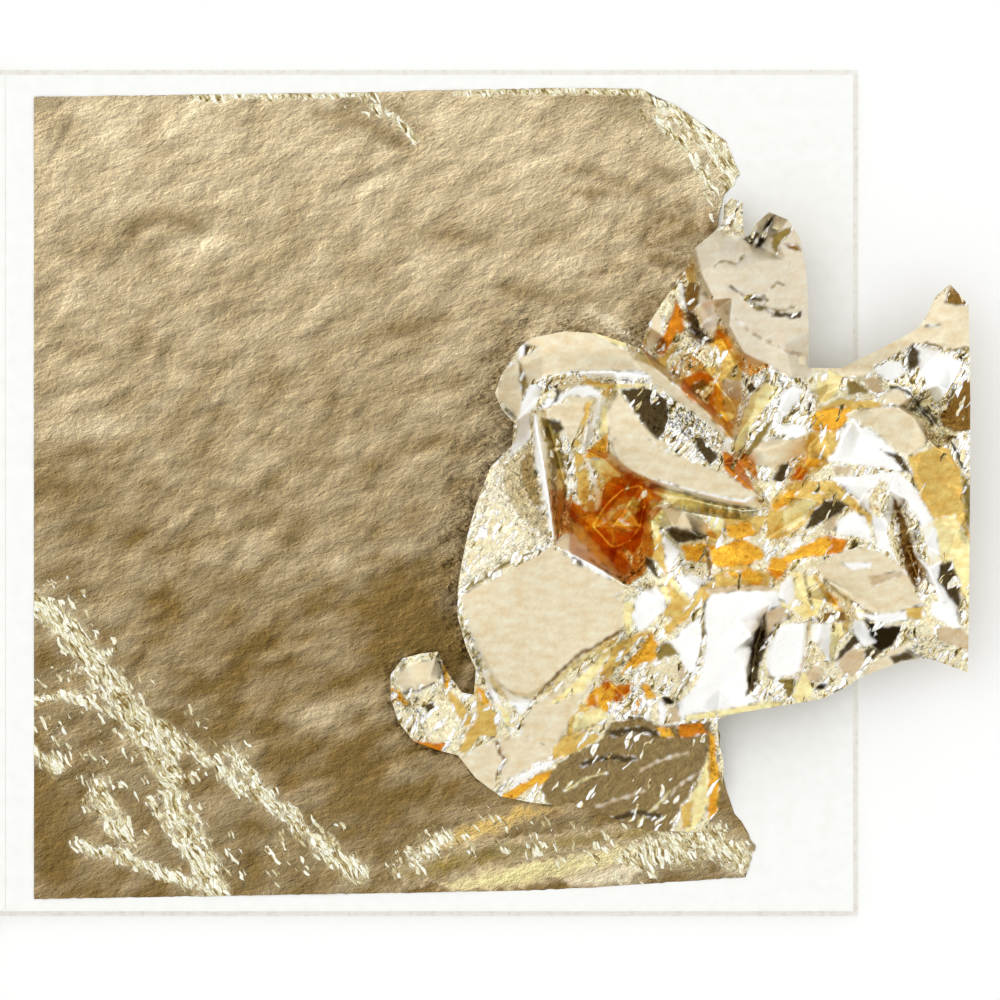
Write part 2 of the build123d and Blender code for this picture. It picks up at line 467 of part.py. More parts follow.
def torn_leaf():
    """The second leaf: flat on its page, notched at the head, its right side torn off."""
    outline = [across_and_along(*point) for point in torn_leaf_pixels]
    low = leaf_level(turned_page_count)
    face = Polygon(*outline, align=None)
    return Pos(0, 0, low) * extrude(face, amount=leaf_thickness, dir=(0, 0, 1))


def inside(point, outline):
    """True where a ray from the point crosses the outline an odd number of times."""
    x, y = point
    odd = False
    for (ax, ay), (bx, by) in zip(outline, outline[1:] + outline[:1]):
        if (ay > y) != (by > y) and x < ax + (y - ay) * (bx - ax) / (by - ay):
            odd = not odd
    return odd


def crumple_net():
    """The triangles of the crumpled leaf: its named points joined in plan, each triangle with
    its points counter-clockwise from above, and none outside the outline."""
    named = {**crumple_outline_shares, **crumple_fold_shares}
    plan = np.array([(px, -py) for px, py, share in named.values()], float)
    border = [(px, -py) for px, py, share in crumple_outline_shares.values()]
    triangles = []
    for a, b, c in Delaunay(plan).simplices.tolist():
        if not inside(plan[[a, b, c]].mean(axis=0), border):
            continue
        (ax, ay), (bx, by), (cx, cy) = plan[a], plan[b], plan[c]
        turn = (bx - ax) * (cy - ay) - (by - ay) * (cx - ax)
        triangles.append((a, b, c) if turn > 0 else (a, c, b))
    return list(named.values()), triangles


def crumpled_leaf():
    """The first leaf: a folded foil whose facets join the named points, closed by the same
    facets one foil thickness lower and by a narrow rim."""
    places, triangles = crumple_net()
    base = leaf_level(turned_page_count) + leaf_thickness + seat_clearance
    under = []
    for px, py, share in places:
        under.append(Vector(*across_and_along(px, py), base + share * crumple_height))
    over = [point + Vector(0, 0, crumple_thickness) for point in under]
    edges = {}
    faces = []
    for corners in triangles:
        upper = [over[corner] for corner in corners]
        lower = [under[corner] for corner in reversed(corners)]
        faces += [Face(Wire.make_polygon(upper)), Face(Wire.make_polygon(lower))]
        for a, b in zip(corners, corners[1:] + corners[:1]):
            edges[(a, b)] = True
    for a, b in edges:
        if (b, a) not in edges:
            faces.append(Face(Wire.make_polygon([over[b], over[a], under[a], under[b]])))
    return Solid(Shell(faces))


def write(node, *solids):
    """One file for each node, with its volume in cubic millimetres."""
    shape = solids[0] if len(solids) == 1 else Compound(children=list(solids))
    export_step(shape, f"parts/{node}.step")
    print(node, len(solids), round(sum(solid.volume for solid in solids), 3))


# The booklet, node by node
last_turning_tissue = first_lying_tissue + fan_page_count - 1
write("cover_spine", cover_spine())
for staple_name, staple_y in staple_places.items():
    write(staple_name, staple(staple_y))
write("back_cover", slab(crease_x + hinge_gap, cover_free_x, cover_depth, 0, card_thickness))
cover_near_x = crease_x - card_thickness - hinge_gap
write("front_cover", turned_sheet(cover_near_x, turned_cover_low, cover_free_width, cover_depth,
                                  card_thickness))
for number in range(1, first_lying_tissue):
    page = turned_sheet(riser_x(number) - hinge_gap, turned_level(number), tissue_free_width,
                        tissue_depth, tissue_thickness)
    write(f"tissue_{number:02d}", page)
write("tissue_stubs", *[tissue_stub(number) for number in range(1, last_turning_tissue + 1)])
for number in range(first_lying_tissue, tissue_count + 1):
    page = turning_page if number <= last_turning_tissue else lying_page
    write(f"tissue_{number:02d}", page(number))
write("crumpled_leaf", crumpled_leaf())
write("torn_leaf", torn_leaf())
for number in range(first_lying_tissue, leaf_count + 1):
    write(f"leaf_{number:02d}", whole_leaf(number))

# The lines about which the sheets turn, for the record
print("front cover turns at", round(fold_x, 4), round(fold_z, 4))
for number in range(first_lying_tissue, last_turning_tissue + 1):
    print("page", number, "turns at", round(page_crease(number), 4),
          round(tissue_level(number) + tissue_thickness, 4))
print("back cover turns at", round(crease_x, 4), 0)
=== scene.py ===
import json
import math

import bmesh
import bpy
import numpy as np
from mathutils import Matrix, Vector
from mathutils.bvhtree import BVHTree
from mathutils.geometry import delaunay_2d_cdt
from mathutils.kdtree import KDTree


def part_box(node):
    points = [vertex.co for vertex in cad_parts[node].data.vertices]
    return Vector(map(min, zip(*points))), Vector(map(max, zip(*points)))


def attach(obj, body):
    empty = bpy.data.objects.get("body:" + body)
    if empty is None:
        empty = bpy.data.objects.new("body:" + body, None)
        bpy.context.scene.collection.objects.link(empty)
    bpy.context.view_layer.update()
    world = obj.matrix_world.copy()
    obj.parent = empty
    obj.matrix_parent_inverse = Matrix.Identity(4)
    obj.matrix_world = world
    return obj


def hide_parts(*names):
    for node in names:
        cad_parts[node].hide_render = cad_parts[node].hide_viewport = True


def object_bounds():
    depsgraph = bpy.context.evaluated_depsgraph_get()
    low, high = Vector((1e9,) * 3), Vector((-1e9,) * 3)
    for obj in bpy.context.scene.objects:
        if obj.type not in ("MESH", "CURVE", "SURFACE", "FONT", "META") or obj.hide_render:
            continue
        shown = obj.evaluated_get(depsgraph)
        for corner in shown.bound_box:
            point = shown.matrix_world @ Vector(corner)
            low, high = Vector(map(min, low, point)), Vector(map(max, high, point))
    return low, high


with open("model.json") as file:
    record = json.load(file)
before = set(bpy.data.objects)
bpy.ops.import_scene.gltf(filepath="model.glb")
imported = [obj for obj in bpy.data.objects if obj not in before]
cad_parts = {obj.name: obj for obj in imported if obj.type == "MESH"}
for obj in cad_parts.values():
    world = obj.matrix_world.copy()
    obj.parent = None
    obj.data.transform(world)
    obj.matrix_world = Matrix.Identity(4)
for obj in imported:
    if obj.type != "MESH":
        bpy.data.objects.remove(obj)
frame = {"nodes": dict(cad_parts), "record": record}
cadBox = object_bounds()
mm = 0.001

# The photograph's frame, and the leaf that gives it its scale
photo = {"side": 1000, "leafLeft": 34, "leafTop": 92, "leafSide": 802}
leafLow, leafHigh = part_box("leaf_03")
pixel = (leafHigh.y - leafLow.y) / photo["leafSide"]
tornLow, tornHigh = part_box("torn_leaf")


# The place of a pixel on the booklet, in metres: the leaf's corner, and the pixels from it
# times the size of one
def placeX(px):
    return leafLow.x + (px - photo["leafLeft"]) * pixel


def placeY(py):
    return leafHigh.y - (py - photo["leafTop"]) * pixel


# The pixel over a place on the booklet, by the same formula turned round
def pixelX(x):
    return photo["leafLeft"] + (x - leafLow.x) / pixel


def pixelY(y):
    return photo["leafTop"] + (leafHigh.y - y) / pixel


# Colour of an sRGB hex text in the linear values that shaders take: a dark channel is divided by
# 12.92, any other goes up by 0.055, is divided by 1.055 and raised to the power 2.4
def linearColour(hexText):
    parts = [int(hexText[i:i + 2], 16) / 255 for i in (1, 3, 5)]
    return [c / 12.92 if c <= 0.04045 else ((c + 0.055) / 1.055) ** 2.4 for c in parts] + [1.0]


# Adds a node: plain settings by attribute, socket values by name or number, links as (node, output)
def addNode(tree, kind, settings=None, values=None, links=None):
    node = tree.nodes.new(kind)
    for name, value in (settings or {}).items():
        setattr(node, name, value)
    for socket, value in (values or {}).items():
        node.inputs[socket].default_value = value
    for socket, (source, output) in (links or {}).items():
        tree.links.new(source.outputs[output], node.inputs[socket])
    return node


# Gives a colour ramp its stops, each a place and a hex colour
def setStops(ramp, stops):
    elements = ramp.color_ramp.elements
    while len(elements) < len(stops):
        elements.new(0.5)
    for element, (place, hexText) in zip(elements, stops):
        element.position = place
        element.color = linearColour(hexText)


# An empty material with its Principled shader and object coordinates in millimetres
def startMaterial(name, values):
    material = bpy.data.materials.new(name)
    material.use_nodes = True
    tree = material.node_tree
    tree.nodes.clear()
    shader = addNode(tree, "ShaderNodeBsdfPrincipled", values=values)
    addNode(tree, "ShaderNodeOutputMaterial", links={"Surface": (shader, "BSDF")})
    place = addNode(tree, "ShaderNodeTexCoord")
    inMm = addNode(tree, "ShaderNodeMapping", values={"Scale": (1 / mm, 1 / mm, 1 / mm)},
                   links={"Vector": (place, "Object")})
    return material, tree, shader, inMm


# A mottled colour: a noise goes through a ramp of two colours
def mottle(tree, shader, source, scale, detail, stops):
    noise = addNode(tree, "ShaderNodeTexNoise", values={"Scale": scale, "Detail": detail},
                    links={"Vector": (source, "Vector")})
    ramp = addNode(tree, "ShaderNodeValToRGB", links={"Fac": (noise, "Fac")})
    setStops(ramp, stops)
    tree.links.new(ramp.outputs["Color"], shader.inputs["Base Color"])


# A fine relief: a noise is the height that bends the shading, deepMm high at its full strength
def grain(tree, shader, source, scale, detail, deepMm, strength):
    noise = addNode(tree, "ShaderNodeTexNoise", values={"Scale": scale, "Detail": detail},
                    links={"Vector": (source, "Vector")})
    bump = addNode(tree, "ShaderNodeBump", values={"Distance": deepMm * mm, "Strength": strength},
                   links={"Height": (noise, "Fac")})
    tree.links.new(bump.outputs["Normal"], shader.inputs["Normal"])


# A repeatable random number from 0 to 1 for each cell of a whole-number lattice: the cell and the
# seed are multiplied by large odd numbers, added, and the high bits mixed twice into the low ones
def cellValue(column, row, seed):
    mask = np.uint64(0xFFFFFFFF)
    mixed = (column.astype(np.int64) * 374761393 + row.astype(np.int64) * 668265263
             + seed * 974634777).astype(np.uint64) & mask
    mixed = ((mixed ^ (mixed >> np.uint64(13))) * np.uint64(1274126177)) & mask
    mixed = mixed ^ (mixed >> np.uint64(16))
    return (mixed & np.uint64(0xFFFFFF)) / float(0xFFFFFF)


# Eases a share from 0 to 1 by a quintic curve, level at both ends
def ease(t):
    return t * t * t * (t * (t * 6 - 15) + 10)


# Smooth noise from about -1 to 1: random slopes at the lattice points, blended by the eased share
def softNoise(x, y, seed):
    column, row = np.floor(x), np.floor(y)
    fx, fy = x - column, y - row
    total = 0
    for dx in (0, 1):
        for dy in (0, 1):
            angle = 2 * math.pi * cellValue(column + dx, row + dy, seed)
            slope = np.cos(angle) * (fx - dx) + np.sin(angle) * (fy - dy)
            weight = (ease(fx) if dx else 1 - ease(fx)) * (ease(fy) if dy else 1 - ease(fy))
            total = total + weight * slope
    return total * 1.5                             # slopes blend to about two thirds of 1


# A value that wavers over the picture: a mean and a spread times soft noise of a length in pixels
def wavering(px, py, mean, spread, length, seed):
    return mean + spread * softNoise(px / length, py / length, seed)


# Faceted noise from -1 to 1: random heights at the corners of a triangle lattice, joined by
# flat facets, which is how a hard foil folds
def facetNoise(x, y, seed):
    skew = (x + y) * 0.3660254                     # (root of 3, less 1) / 2 makes squares triangles
    column, row = np.floor(x + skew), np.floor(y + skew)
    fx, fy = x + skew - column, y + skew - row
    right = fx > fy
    near = cellValue(column, row, seed)
    side = cellValue(column + right, row + ~right, seed)
    far = cellValue(column + 1, row + 1, seed)
    big, small = np.maximum(fx, fy), np.minimum(fx, fy)
    return 2 * (near * (1 - big) + side * (big - small) + far * small) - 1


# Octaves of faceted noise, each half as long and half as high, on lightly warped coordinates
def crumple(x, y, seed, octaves):
    warp, apart = 0.35, 17
    total = 0
    for k in range(octaves):
        wx = x * 2 ** k + warp * softNoise(x * 2 ** k, y * 2 ** k, seed + 40 + k)
        wy = y * 2 ** k + warp * softNoise(x * 2 ** k, y * 2 ** k, seed + 50 + k)
        total = total + facetNoise(wx + apart * k, wy, seed + k) / 2 ** k
    return total


# Coordinates turned by an angle and divided by a length along and across it
def turned(x, y, degrees, along, across):
    c, s = math.cos(math.radians(degrees)), math.sin(math.radians(degrees))
    return (x * c + y * s) / along, (y * c - x * s) / across


# Rises from 0 to 1 across a middle, by 1 / (1 + e to the power of minus the distance over soft)
def softStep(value, middle, soft):
    return 1 / (1 + np.exp(-(value - middle) / soft))


# Points from a row of numbers, x and y in turn
def pairsOf(row):
    return list(zip(row[::2], row[1::2]))


# Shortest distance from places to a line of straight stretches, all in pixels
def pathDistance(px, py, path):
    best = np.full(px.shape, np.inf)
    for (ax, ay), (bx, by) in zip(path, path[1:]):
        dx, dy = bx - ax, by - ay
        t = np.clip(((px - ax) * dx + (py - ay) * dy) / (dx * dx + dy * dy), 0, 1)
        best = np.minimum(best, np.hypot(px - ax - t * dx, py - ay - t * dy))
    return best


# How far inside a polygon places lie, and less than zero outside it: the distance to the
# nearest side, with its sign from the count of sides that a ray crosses
def insideDepth(px, py, corners):
    inside = np.zeros(px.shape, bool)
    for (ax, ay), (bx, by) in zip(corners, corners[1:] + corners[:1]):
        crossed = (ay > py) != (by > py)
        inside ^= crossed & (px < (bx - ax) * (py - ay) / ((by - ay) or 1) + ax)
    depth = pathDistance(px, py, corners + corners[:1])
    return np.where(inside, depth, -depth)


# Finishes of the foil's facets: colour, roughness, crinkle in mm, share of sparkle, share of
# shards, and lift in mm. The colour holds painted light: white is a painted highlight; tan, olive,
# bronze, rag, dusk, brownSand, dark and shadow are painted shade and dark reflections; gold, amber
# and ember are painted light bounced between folds; the others are the foil's own pale tones
finishesWithPaintedLight = {
    "pale": ("#EBDDBC", 0.46, 0.03, 0.03, 0.0, 0.12), "ivory": ("#DDD2BA", 0.46, 0.03, 0.03, 0.0, 0.12),
    "white": ("#FFFEFA", 0.44, 0.03, 0.03, 0.0, 0.14), "cream": ("#F5E6A6", 0.34, 0.08, 0.08, 0.07, 0.06),
    "glitter": ("#EFE9D6", 0.16, 0.32, 0.3, 0.95, 0.0), "silver": ("#E8DDB8", 0.22, 0.16, 0.3, 0.42, 0.0),
    "sand": ("#E8DEC0", 0.22, 0.05, 0.8, 0.03, 0.0), "dusk": ("#C6B68E", 0.25, 0.05, 0.8, 0.04, 0.0),
    "brownSand": ("#A08858", 0.25, 0.05, 0.8, 0.05, 0.0), "tan": ("#D2BC98", 0.42, 0.04, 0.10, 0.04, 0.0),
    "gold": ("#DAB663", 0.30, 0.12, 0.15, 0.06, -0.05), "amber": ("#E9AC38", 0.27, 0.12, 0.15, 0.05, -0.15),
    "ember": ("#CF7E1F", 0.28, 0.14, 0.15, 0.04, -0.30), "rag": ("#8C774E", 0.32, 0.26, 0.5, 0.10, -0.10),
    "olive": ("#8F7A3E", 0.28, 0.08, 0.2, 0.2, -0.10), "bronze": ("#85632E", 0.30, 0.18, 0.4, 0.18, -0.15),
    "dark": ("#51432A", 0.30, 0.14, 0.45, 0.16, -0.15), "shadow": ("#2A2010", 0.35, 0.0, 0.1, 0.1, -0.25),
}
# Lengths in pixels over which a patch's edge wanders and its fold's glance changes, how far past a
# patch its edge is worked out, the fold's half width, the brightest value of its painted highlight
# and the depth of its painted shade
foldSet = {"wanderLength": 9, "glanceLength": 7, "reach": 6, "halfWidth": 1.1, "brightest": 0.95,
           "deepest": 0.8}


# A finish as a row of numbers: its linear colour, painted light included, and its other values
def finishValues(name):
    return np.array(linearColour(finishesWithPaintedLight[name][0])[:3] + list(finishesWithPaintedLight[name][1:]))


# Blends patches over a base finish, later ones on top. A patch is a finish and the row of its
# corners in pixels, or a finish, the row of a line and its half width. A patch's edge is a fold line
# of painted highlight where the glance is above nought and painted shade where it is below. Gives
# colour, roughness, crinkle, sparkle, shards and lift
def paintPatches(px, py, patches, base, soft, bevel, wander, paintedFoldLightGain):
    s = foldSet
    paint = np.tile(finishValues(base), (px.size, 1))
    wx = px + wavering(px, py, 0, wander, s["wanderLength"], seed=91)
    wy = py + wavering(px, py, 0, wander, s["wanderLength"], seed=92)
    glance = wavering(px, py, 0, 1, s["glanceLength"], seed=93)
    for finish, row, *halfWidth in patches.values():
        corners, xs, ys = pairsOf(row), row[::2], row[1::2]
        near = np.flatnonzero((wx > min(xs) - s["reach"]) & (wx < max(xs) + s["reach"])
                              & (wy > min(ys) - s["reach"]) & (wy < max(ys) + s["reach"]))
        if halfWidth:
            depth = halfWidth[0] - pathDistance(wx[near], wy[near], corners)
        else:
            depth = insideDepth(wx[near], wy[near], corners)
        weight = np.clip(0.5 + depth / (2 * soft), 0, 1)[:, None]
        rise = np.clip(0.5 + depth / (2 * bevel), 0, 1)
        target = finishValues(finish)
        paint[near, :7] += weight * (target[:7] - paint[near, :7])
        paint[near, 7] += rise * (target[7] - paint[near, 7])
        # Painted highlight and painted shade along the patch's edge, by the sign of the glance
        foldPaintedLight = paintedFoldLightGain * np.exp(-(depth / s["halfWidth"]) ** 2) * glance[near]
        paint[near, :3] += np.clip(foldPaintedLight, 0, 1)[:, None] * (s["brightest"] - paint[near, :3])
        paint[near, :3] *= 1 - s["deepest"] * np.clip(-foldPaintedLight, 0, 1)[:, None]
    return paint


# A mesh object from points and faces, shaded smooth, with named point values: one number each,
# or three for a colour
def meshObject(name, points, faces, values=None):
    mesh = bpy.data.meshes.new(name)
    mesh.from_pydata(points.tolist(), [], faces)
    mesh.update()
    mesh.shade_smooth()
    for key, value in (values or {}).items():
        kind, field = ("FLOAT", "value") if value.ndim == 1 else ("FLOAT_VECTOR", "vector")
        attribute = mesh.attributes.new(key, kind, "POINT")
        attribute.data.foreach_set(field, value.astype(np.float32).ravel())
    item = bpy.data.objects.new(name, mesh)
    bpy.context.scene.collection.objects.link(item)
    return item


# Marks the edges between points of a rim as sharp, so a thin edge doesn't bend the shading
def sharpenRim(item, rim):
    mesh = item.data
    onRim = np.zeros(len(mesh.vertices), bool)
    onRim[rim] = True
    ends = np.empty(len(mesh.edges) * 2, np.int32)
    mesh.edges.foreach_get("vertices", ends)
    sharp = onRim[ends.reshape(-1, 2)].all(axis=1)
    mesh.attributes.new("sharp_edge", "BOOLEAN", "EDGE").data.foreach_set("value", sharp)


# A long lens in mm with its sensor, and how far the camera sees in metres
cameraSet = {"lens": 250.0, "sensor": 36.0, "reach": 10}


# Camera straight over the page. Its height over the leaf is the frame's side times lens / sensor
def makeCamera():
    side = photo["side"] * pixel
    data = bpy.data.cameras.new("camera")
    data.lens = cameraSet["lens"]
    data.sensor_width = cameraSet["sensor"]
    data.clip_end = cameraSet["reach"]
    camera = bpy.data.objects.new("camera", data)
    bpy.context.scene.collection.objects.link(camera)
    height = tornHigh.z + side * cameraSet["lens"] / cameraSet["sensor"]
    camera.location = (placeX(photo["side"] / 2), placeY(photo["side"] / 2), height)
    bpy.context.scene.camera = camera
    print("camera", [round(v, 4) for v in camera.location])


# Studio: plain white surroundings, a graded card overhead, soft boxes and dark cards.
# Each card: azimuth and elevation in degrees, distance, width and height in metres, strength
studioSet = {
    "world": 1.06,
    "overhead": {"height": 0.85, "width": 0.60, "bright": 1.35, "dim": 0.65, "toward": (-0.6, 0.8, 0)},
    "floor": {"reach": 3, "colour": "#FDFDFC", "roughness": 0.9, "gloss": 0.1},
    "cards": {
        "boxHeadLeft": (130, 50, 0.9, 0.40, 0.24, 1.9),
        "boxFootRight": (325, 50, 0.9, 0.30, 0.22, 1.8),
        "boxRight": (45, 42, 0.9, 0.24, 0.24, 2.2),
        "darkFootLeft": (215, 24, 0.9, 0.42, 0.28, 0.08),
        "darkFoot": (285, 18, 0.9, 0.36, 0.24, 0.10),
        "darkHead": (88, 18, 0.9, 0.36, 0.24, 0.10),
        "darkRight": (0, 16, 0.9, 0.36, 0.24, 0.12),
        "darkLeft": (150, 14, 0.9, 0.36, 0.22, 0.12),
        "stripHead": (85, 62, 0.9, 0.07, 0.30, 0.10),
        "stripFoot": (235, 60, 0.9, 0.08, 0.30, 0.10),
    },
}


# Light of a card: even, or graded in a straight line from dim to bright over its half width
def cardMaterial(name, dim, bright, half=1):
    material = bpy.data.materials.new(name)
    material.use_nodes = True
    tree = material.node_tree
    tree.nodes.clear()
    glow = addNode(tree, "ShaderNodeEmission", values={"Strength": bright})
    if dim != bright:
        place = addNode(tree, "ShaderNodeTexCoord")
        diagonal = addNode(tree, "ShaderNodeVectorMath", {"operation": "DOT_PRODUCT"},
                           {1: studioSet["overhead"]["toward"]}, {0: (place, "Object")})
        graded = addNode(tree, "ShaderNodeMapRange", {},
                         {"From Min": -half, "From Max": half, "To Min": dim, "To Max": bright},
                         {"Value": (diagonal, "Value")})
        tree.links.new(graded.outputs["Result"], glow.inputs["Strength"])
    addNode(tree, "ShaderNodeOutputMaterial", links={"Surface": (glow, "Emission")})
    return material


# A flat four-cornered card that lights and mirrors in the object but isn't seen by the camera
def addCard(name, corners, material):
    card = meshObject(name, np.array(corners), [(0, 1, 2, 3)])
    card.data.materials.append(material)
    card.visible_camera = False


# The floor: a square of matt painted board, white and level with the booklet's underside
def makeFloor():
    s = studioSet["floor"]
    reach, low = s["reach"], cadBox[0][2]
    corners = [(-reach, -reach, low), (reach, -reach, low), (reach, reach, low), (-reach, reach, low)]
    floor = meshObject("floor", np.array(corners), [(0, 1, 2, 3)])
    floor.data.materials.append(startMaterial("paintedBoard", {
        "Base Color": linearColour(s["colour"]), "Roughness": s["roughness"],
        "Specular IOR Level": s["gloss"]})[0])


# White world, the graded card overhead, and the other cards, each square to its line from the
# middle: its corners are half a width across and half a height up from the line's end
def makeStudio():
    world = bpy.data.worlds.new("whiteRoom")
    bpy.context.scene.world = world
    world.use_nodes = True
    world.node_tree.nodes["Background"].inputs["Color"].default_value = (1, 1, 1, 1)
    world.node_tree.nodes["Background"].inputs["Strength"].default_value = studioSet["world"]
    over = studioSet["overhead"]
    half, z = over["width"] / 2, over["height"]
    corners = [(-half, half, z), (half, half, z), (half, -half, z), (-half, -half, z)]
    addCard("overheadCard", corners, cardMaterial("gradedCard", over["dim"], over["bright"], half))
    for name, (azimuth, elevation, distance, width, height, strength) in studioSet["cards"].items():
        a, e = math.radians(azimuth), math.radians(elevation)
        outward = np.array([math.cos(a) * math.cos(e), math.sin(a) * math.cos(e), math.sin(e)])
        across = np.array([-math.sin(a), math.cos(a), 0])
        upward = np.cross(outward, across)
        middle = outward * distance
        corners = [middle + across * sx * width / 2 + upward * sy * height / 2
                   for sx, sy in ((-1, -1), (-1, 1), (1, 1), (1, -1))]
        addCard(name, corners, cardMaterial(name, strength, strength))
    makeFloor()
    print("studio", len(studioSet["cards"]) + 1, "cards")


# Beaten metal leaf, a brass foil rolled and beaten thin. Its folds catch the room from bright
# champagne to deep amber, and much of that is painted into its colour as highlights, shade and
# amber light bounced between folds. Sparkle is a fine crumple that glints, a tilt at random for
# each small cell, and a sparkling place takes more of the wrinkles' painted shade. Slivers bend
# by up to bend mm within bendMm. Crease is how much of one its dark border, a painted crease
# shade, takes
foilSet = {"cellMm": 0.5, "tilt": 1.1, "bendMm": 5.0, "bend": 2.8, "crease": 0.075, "sparkleShade": 5.0,
           "wrinkle": {"Scale": 1.0, "Detail": 5.0, "Roughness": 0.72, "Distortion": 0.4},
           "grain": {"Scale": 1.6, "Detail": 3.0}, "ownTone": 0.7, "grainTone": 1.3, "toneShift": -0.45}
# Relief is how strongly the long wrinkles' painted shade marks the foil, bumpMm their height,
# shard the length, width and turn of the foil's slivers, and tones their colours from painted
# shade to painted glare
flatLook = {
    "relief": 5.2, "bumpMm": 0.10, "stretchMm": (1.35, 0.65, 1.35), "turn": 16, "slant": (-0.06, 0.10, 0),
    "shardMm": (1.5, 0.45, 1.5), "shardTurn": -58, "creaseShade": 0.3,
    "tones": [(0.0, "#6B5228"), (0.18, "#8F7946"), (0.36, "#C2B283"), (0.55, "#E2DCB8"),
              (0.75, "#F6F3DC"), (1.0, "#FFFFF4")],
}
crumpledLook = {
    "relief": 0.3, "bumpMm": 0.015, "stretchMm": (3.2, 2.0, 3.2), "turn": 30, "slant": (-0.07, 0.08, 0),
    "shardMm": (2.3, 0.65, 2.3), "shardTurn": 58, "creaseShade": 0.6,
    "tones": [(0.0, "#2E2612"), (0.14, "#6E5C30"), (0.27, "#BFA96E"), (0.40, "#EBDFB8"),
              (0.56, "#FFFDF6"), (0.84, "#FFFFFF"), (1.0, "#F0DCA0")],
}


# The foil's tint with the painted shade of its wrinkles: the height of a noise less its height a
# short way toward the light, times the relief plus more for a sparkling place, lightens and
# darkens the colour. Gives the colour and the height
def paintWrinkleShade(tree, look, inMm, tintWithPaintedLight, sparkle):
    long = addNode(tree, "ShaderNodeMapping", {"vector_type": "TEXTURE"}, {
        "Rotation": (0, 0, math.radians(look["turn"])), "Scale": look["stretchMm"]},
        {"Vector": (inMm, "Vector")})
    here = addNode(tree, "ShaderNodeTexNoise", {}, foilSet["wrinkle"], {"Vector": (long, "Vector")})
    moved = addNode(tree, "ShaderNodeVectorMath", {"operation": "ADD"}, {1: look["slant"]},
                    {0: (long, "Vector")})
    there = addNode(tree, "ShaderNodeTexNoise", {}, foilSet["wrinkle"], {"Vector": (moved, "Vector")})
    slope = addNode(tree, "ShaderNodeMath", {"operation": "SUBTRACT"},
                    links={0: (here, "Fac"), 1: (there, "Fac")})
    strength = addNode(tree, "ShaderNodeMath", {"operation": "MULTIPLY_ADD"},
                       {1: foilSet["sparkleShade"], 2: look["relief"]}, {0: (sparkle, "Fac")})
    shade = addNode(tree, "ShaderNodeMath", {"operation": "MULTIPLY_ADD"}, {2: 1.0},
                    {0: (slope, "Value"), 1: (strength, "Value")})
    toned = addNode(tree, "ShaderNodeVectorMath", {"operation": "SCALE"},
                    links={0: (tintWithPaintedLight, "Vector"), "Scale": (shade, "Value")})
    return toned, here


# Slivers of foil, the cells of a bent and stretched lattice. A sliver's tone is its own value plus
# a fine noise and picks its colour from painted shade to painted glare, and it darkens along its
# border in a painted crease shade. Gives the colour and each sliver's own value
def sliverColour(tree, look, inMm):
    s = foilSet
    swirl = addNode(tree, "ShaderNodeTexNoise", values={"Scale": 1 / s["bendMm"], "Detail": 2.0},
                    links={"Vector": (inMm, "Vector")})
    bent = addNode(tree, "ShaderNodeVectorMath", {"operation": "MULTIPLY_ADD"}, {1: [s["bend"]] * 3},
                   {0: (swirl, "Color"), 2: (inMm, "Vector")})
    across = addNode(tree, "ShaderNodeMapping", {"vector_type": "TEXTURE"}, {
        "Rotation": (0, 0, math.radians(look["shardTurn"])), "Scale": look["shardMm"]},
        {"Vector": (bent, "Vector")})
    cells, border = [addNode(tree, "ShaderNodeTexVoronoi", {"feature": feature}, {"Scale": 1.0},
                             {"Vector": (across, "Vector")}) for feature in ("F1", "DISTANCE_TO_EDGE")]
    pick = addNode(tree, "ShaderNodeSeparateXYZ", links={"Vector": (cells, "Color")})
    fine = addNode(tree, "ShaderNodeTexNoise", {}, s["grain"], {"Vector": (across, "Vector")})
    spread = addNode(tree, "ShaderNodeMath", {"operation": "MULTIPLY_ADD"},
                     {1: s["grainTone"], 2: s["toneShift"]}, {0: (fine, "Fac")})
    tone = addNode(tree, "ShaderNodeMath", {"operation": "MULTIPLY_ADD"}, {1: s["ownTone"]},
                   {0: (pick, "X"), 2: (spread, "Value")})
    plain = addNode(tree, "ShaderNodeValToRGB", links={"Fac": (tone, "Value")})
    setStops(plain, look["tones"])
    dim = addNode(tree, "ShaderNodeMapRange", {}, {"From Min": 0.0, "From Max": s["crease"],
                  "To Min": 1 - look["creaseShade"], "To Max": 1.0}, {"Value": (border, "Distance")})
    colour = addNode(tree, "ShaderNodeVectorMath", {"operation": "SCALE"},
                     links={0: (plain, "Color"), "Scale": (dim, "Result")})
    return colour, pick


# The foil's normal: bumped by the wrinkles, then tipped by a random vector for each small cell,
# centred on nil and times the sparkle, and brought back to unit length
def glintingNormal(tree, look, inMm, wrinkleHeight, sparkle):
    wrinkles = addNode(tree, "ShaderNodeBump", values={"Distance": look["bumpMm"] * mm},
                       links={"Height": (wrinkleHeight, "Fac")})
    cells = addNode(tree, "ShaderNodeTexVoronoi", {"feature": "F1"},
                    {"Scale": 1 / foilSet["cellMm"], "Detail": 1.0}, {"Vector": (inMm, "Vector")})
    centred = addNode(tree, "ShaderNodeVectorMath", {"operation": "SUBTRACT"},
                      {1: (0.5, 0.5, 0.5)}, {0: (cells, "Color")})
    amount = addNode(tree, "ShaderNodeMath", {"operation": "MULTIPLY"}, {1: foilSet["tilt"]},
                     {0: (sparkle, "Fac")})
    tilt = addNode(tree, "ShaderNodeVectorMath", {"operation": "SCALE"},
                   links={0: (centred, "Vector"), "Scale": (amount, "Value")})
    tipped = addNode(tree, "ShaderNodeVectorMath", {"operation": "ADD"},
                     links={0: (wrinkles, "Normal"), 1: (tilt, "Vector")})
    return addNode(tree, "ShaderNodeVectorMath", {"operation": "NORMALIZE"},
                   links={0: (tipped, "Vector")})
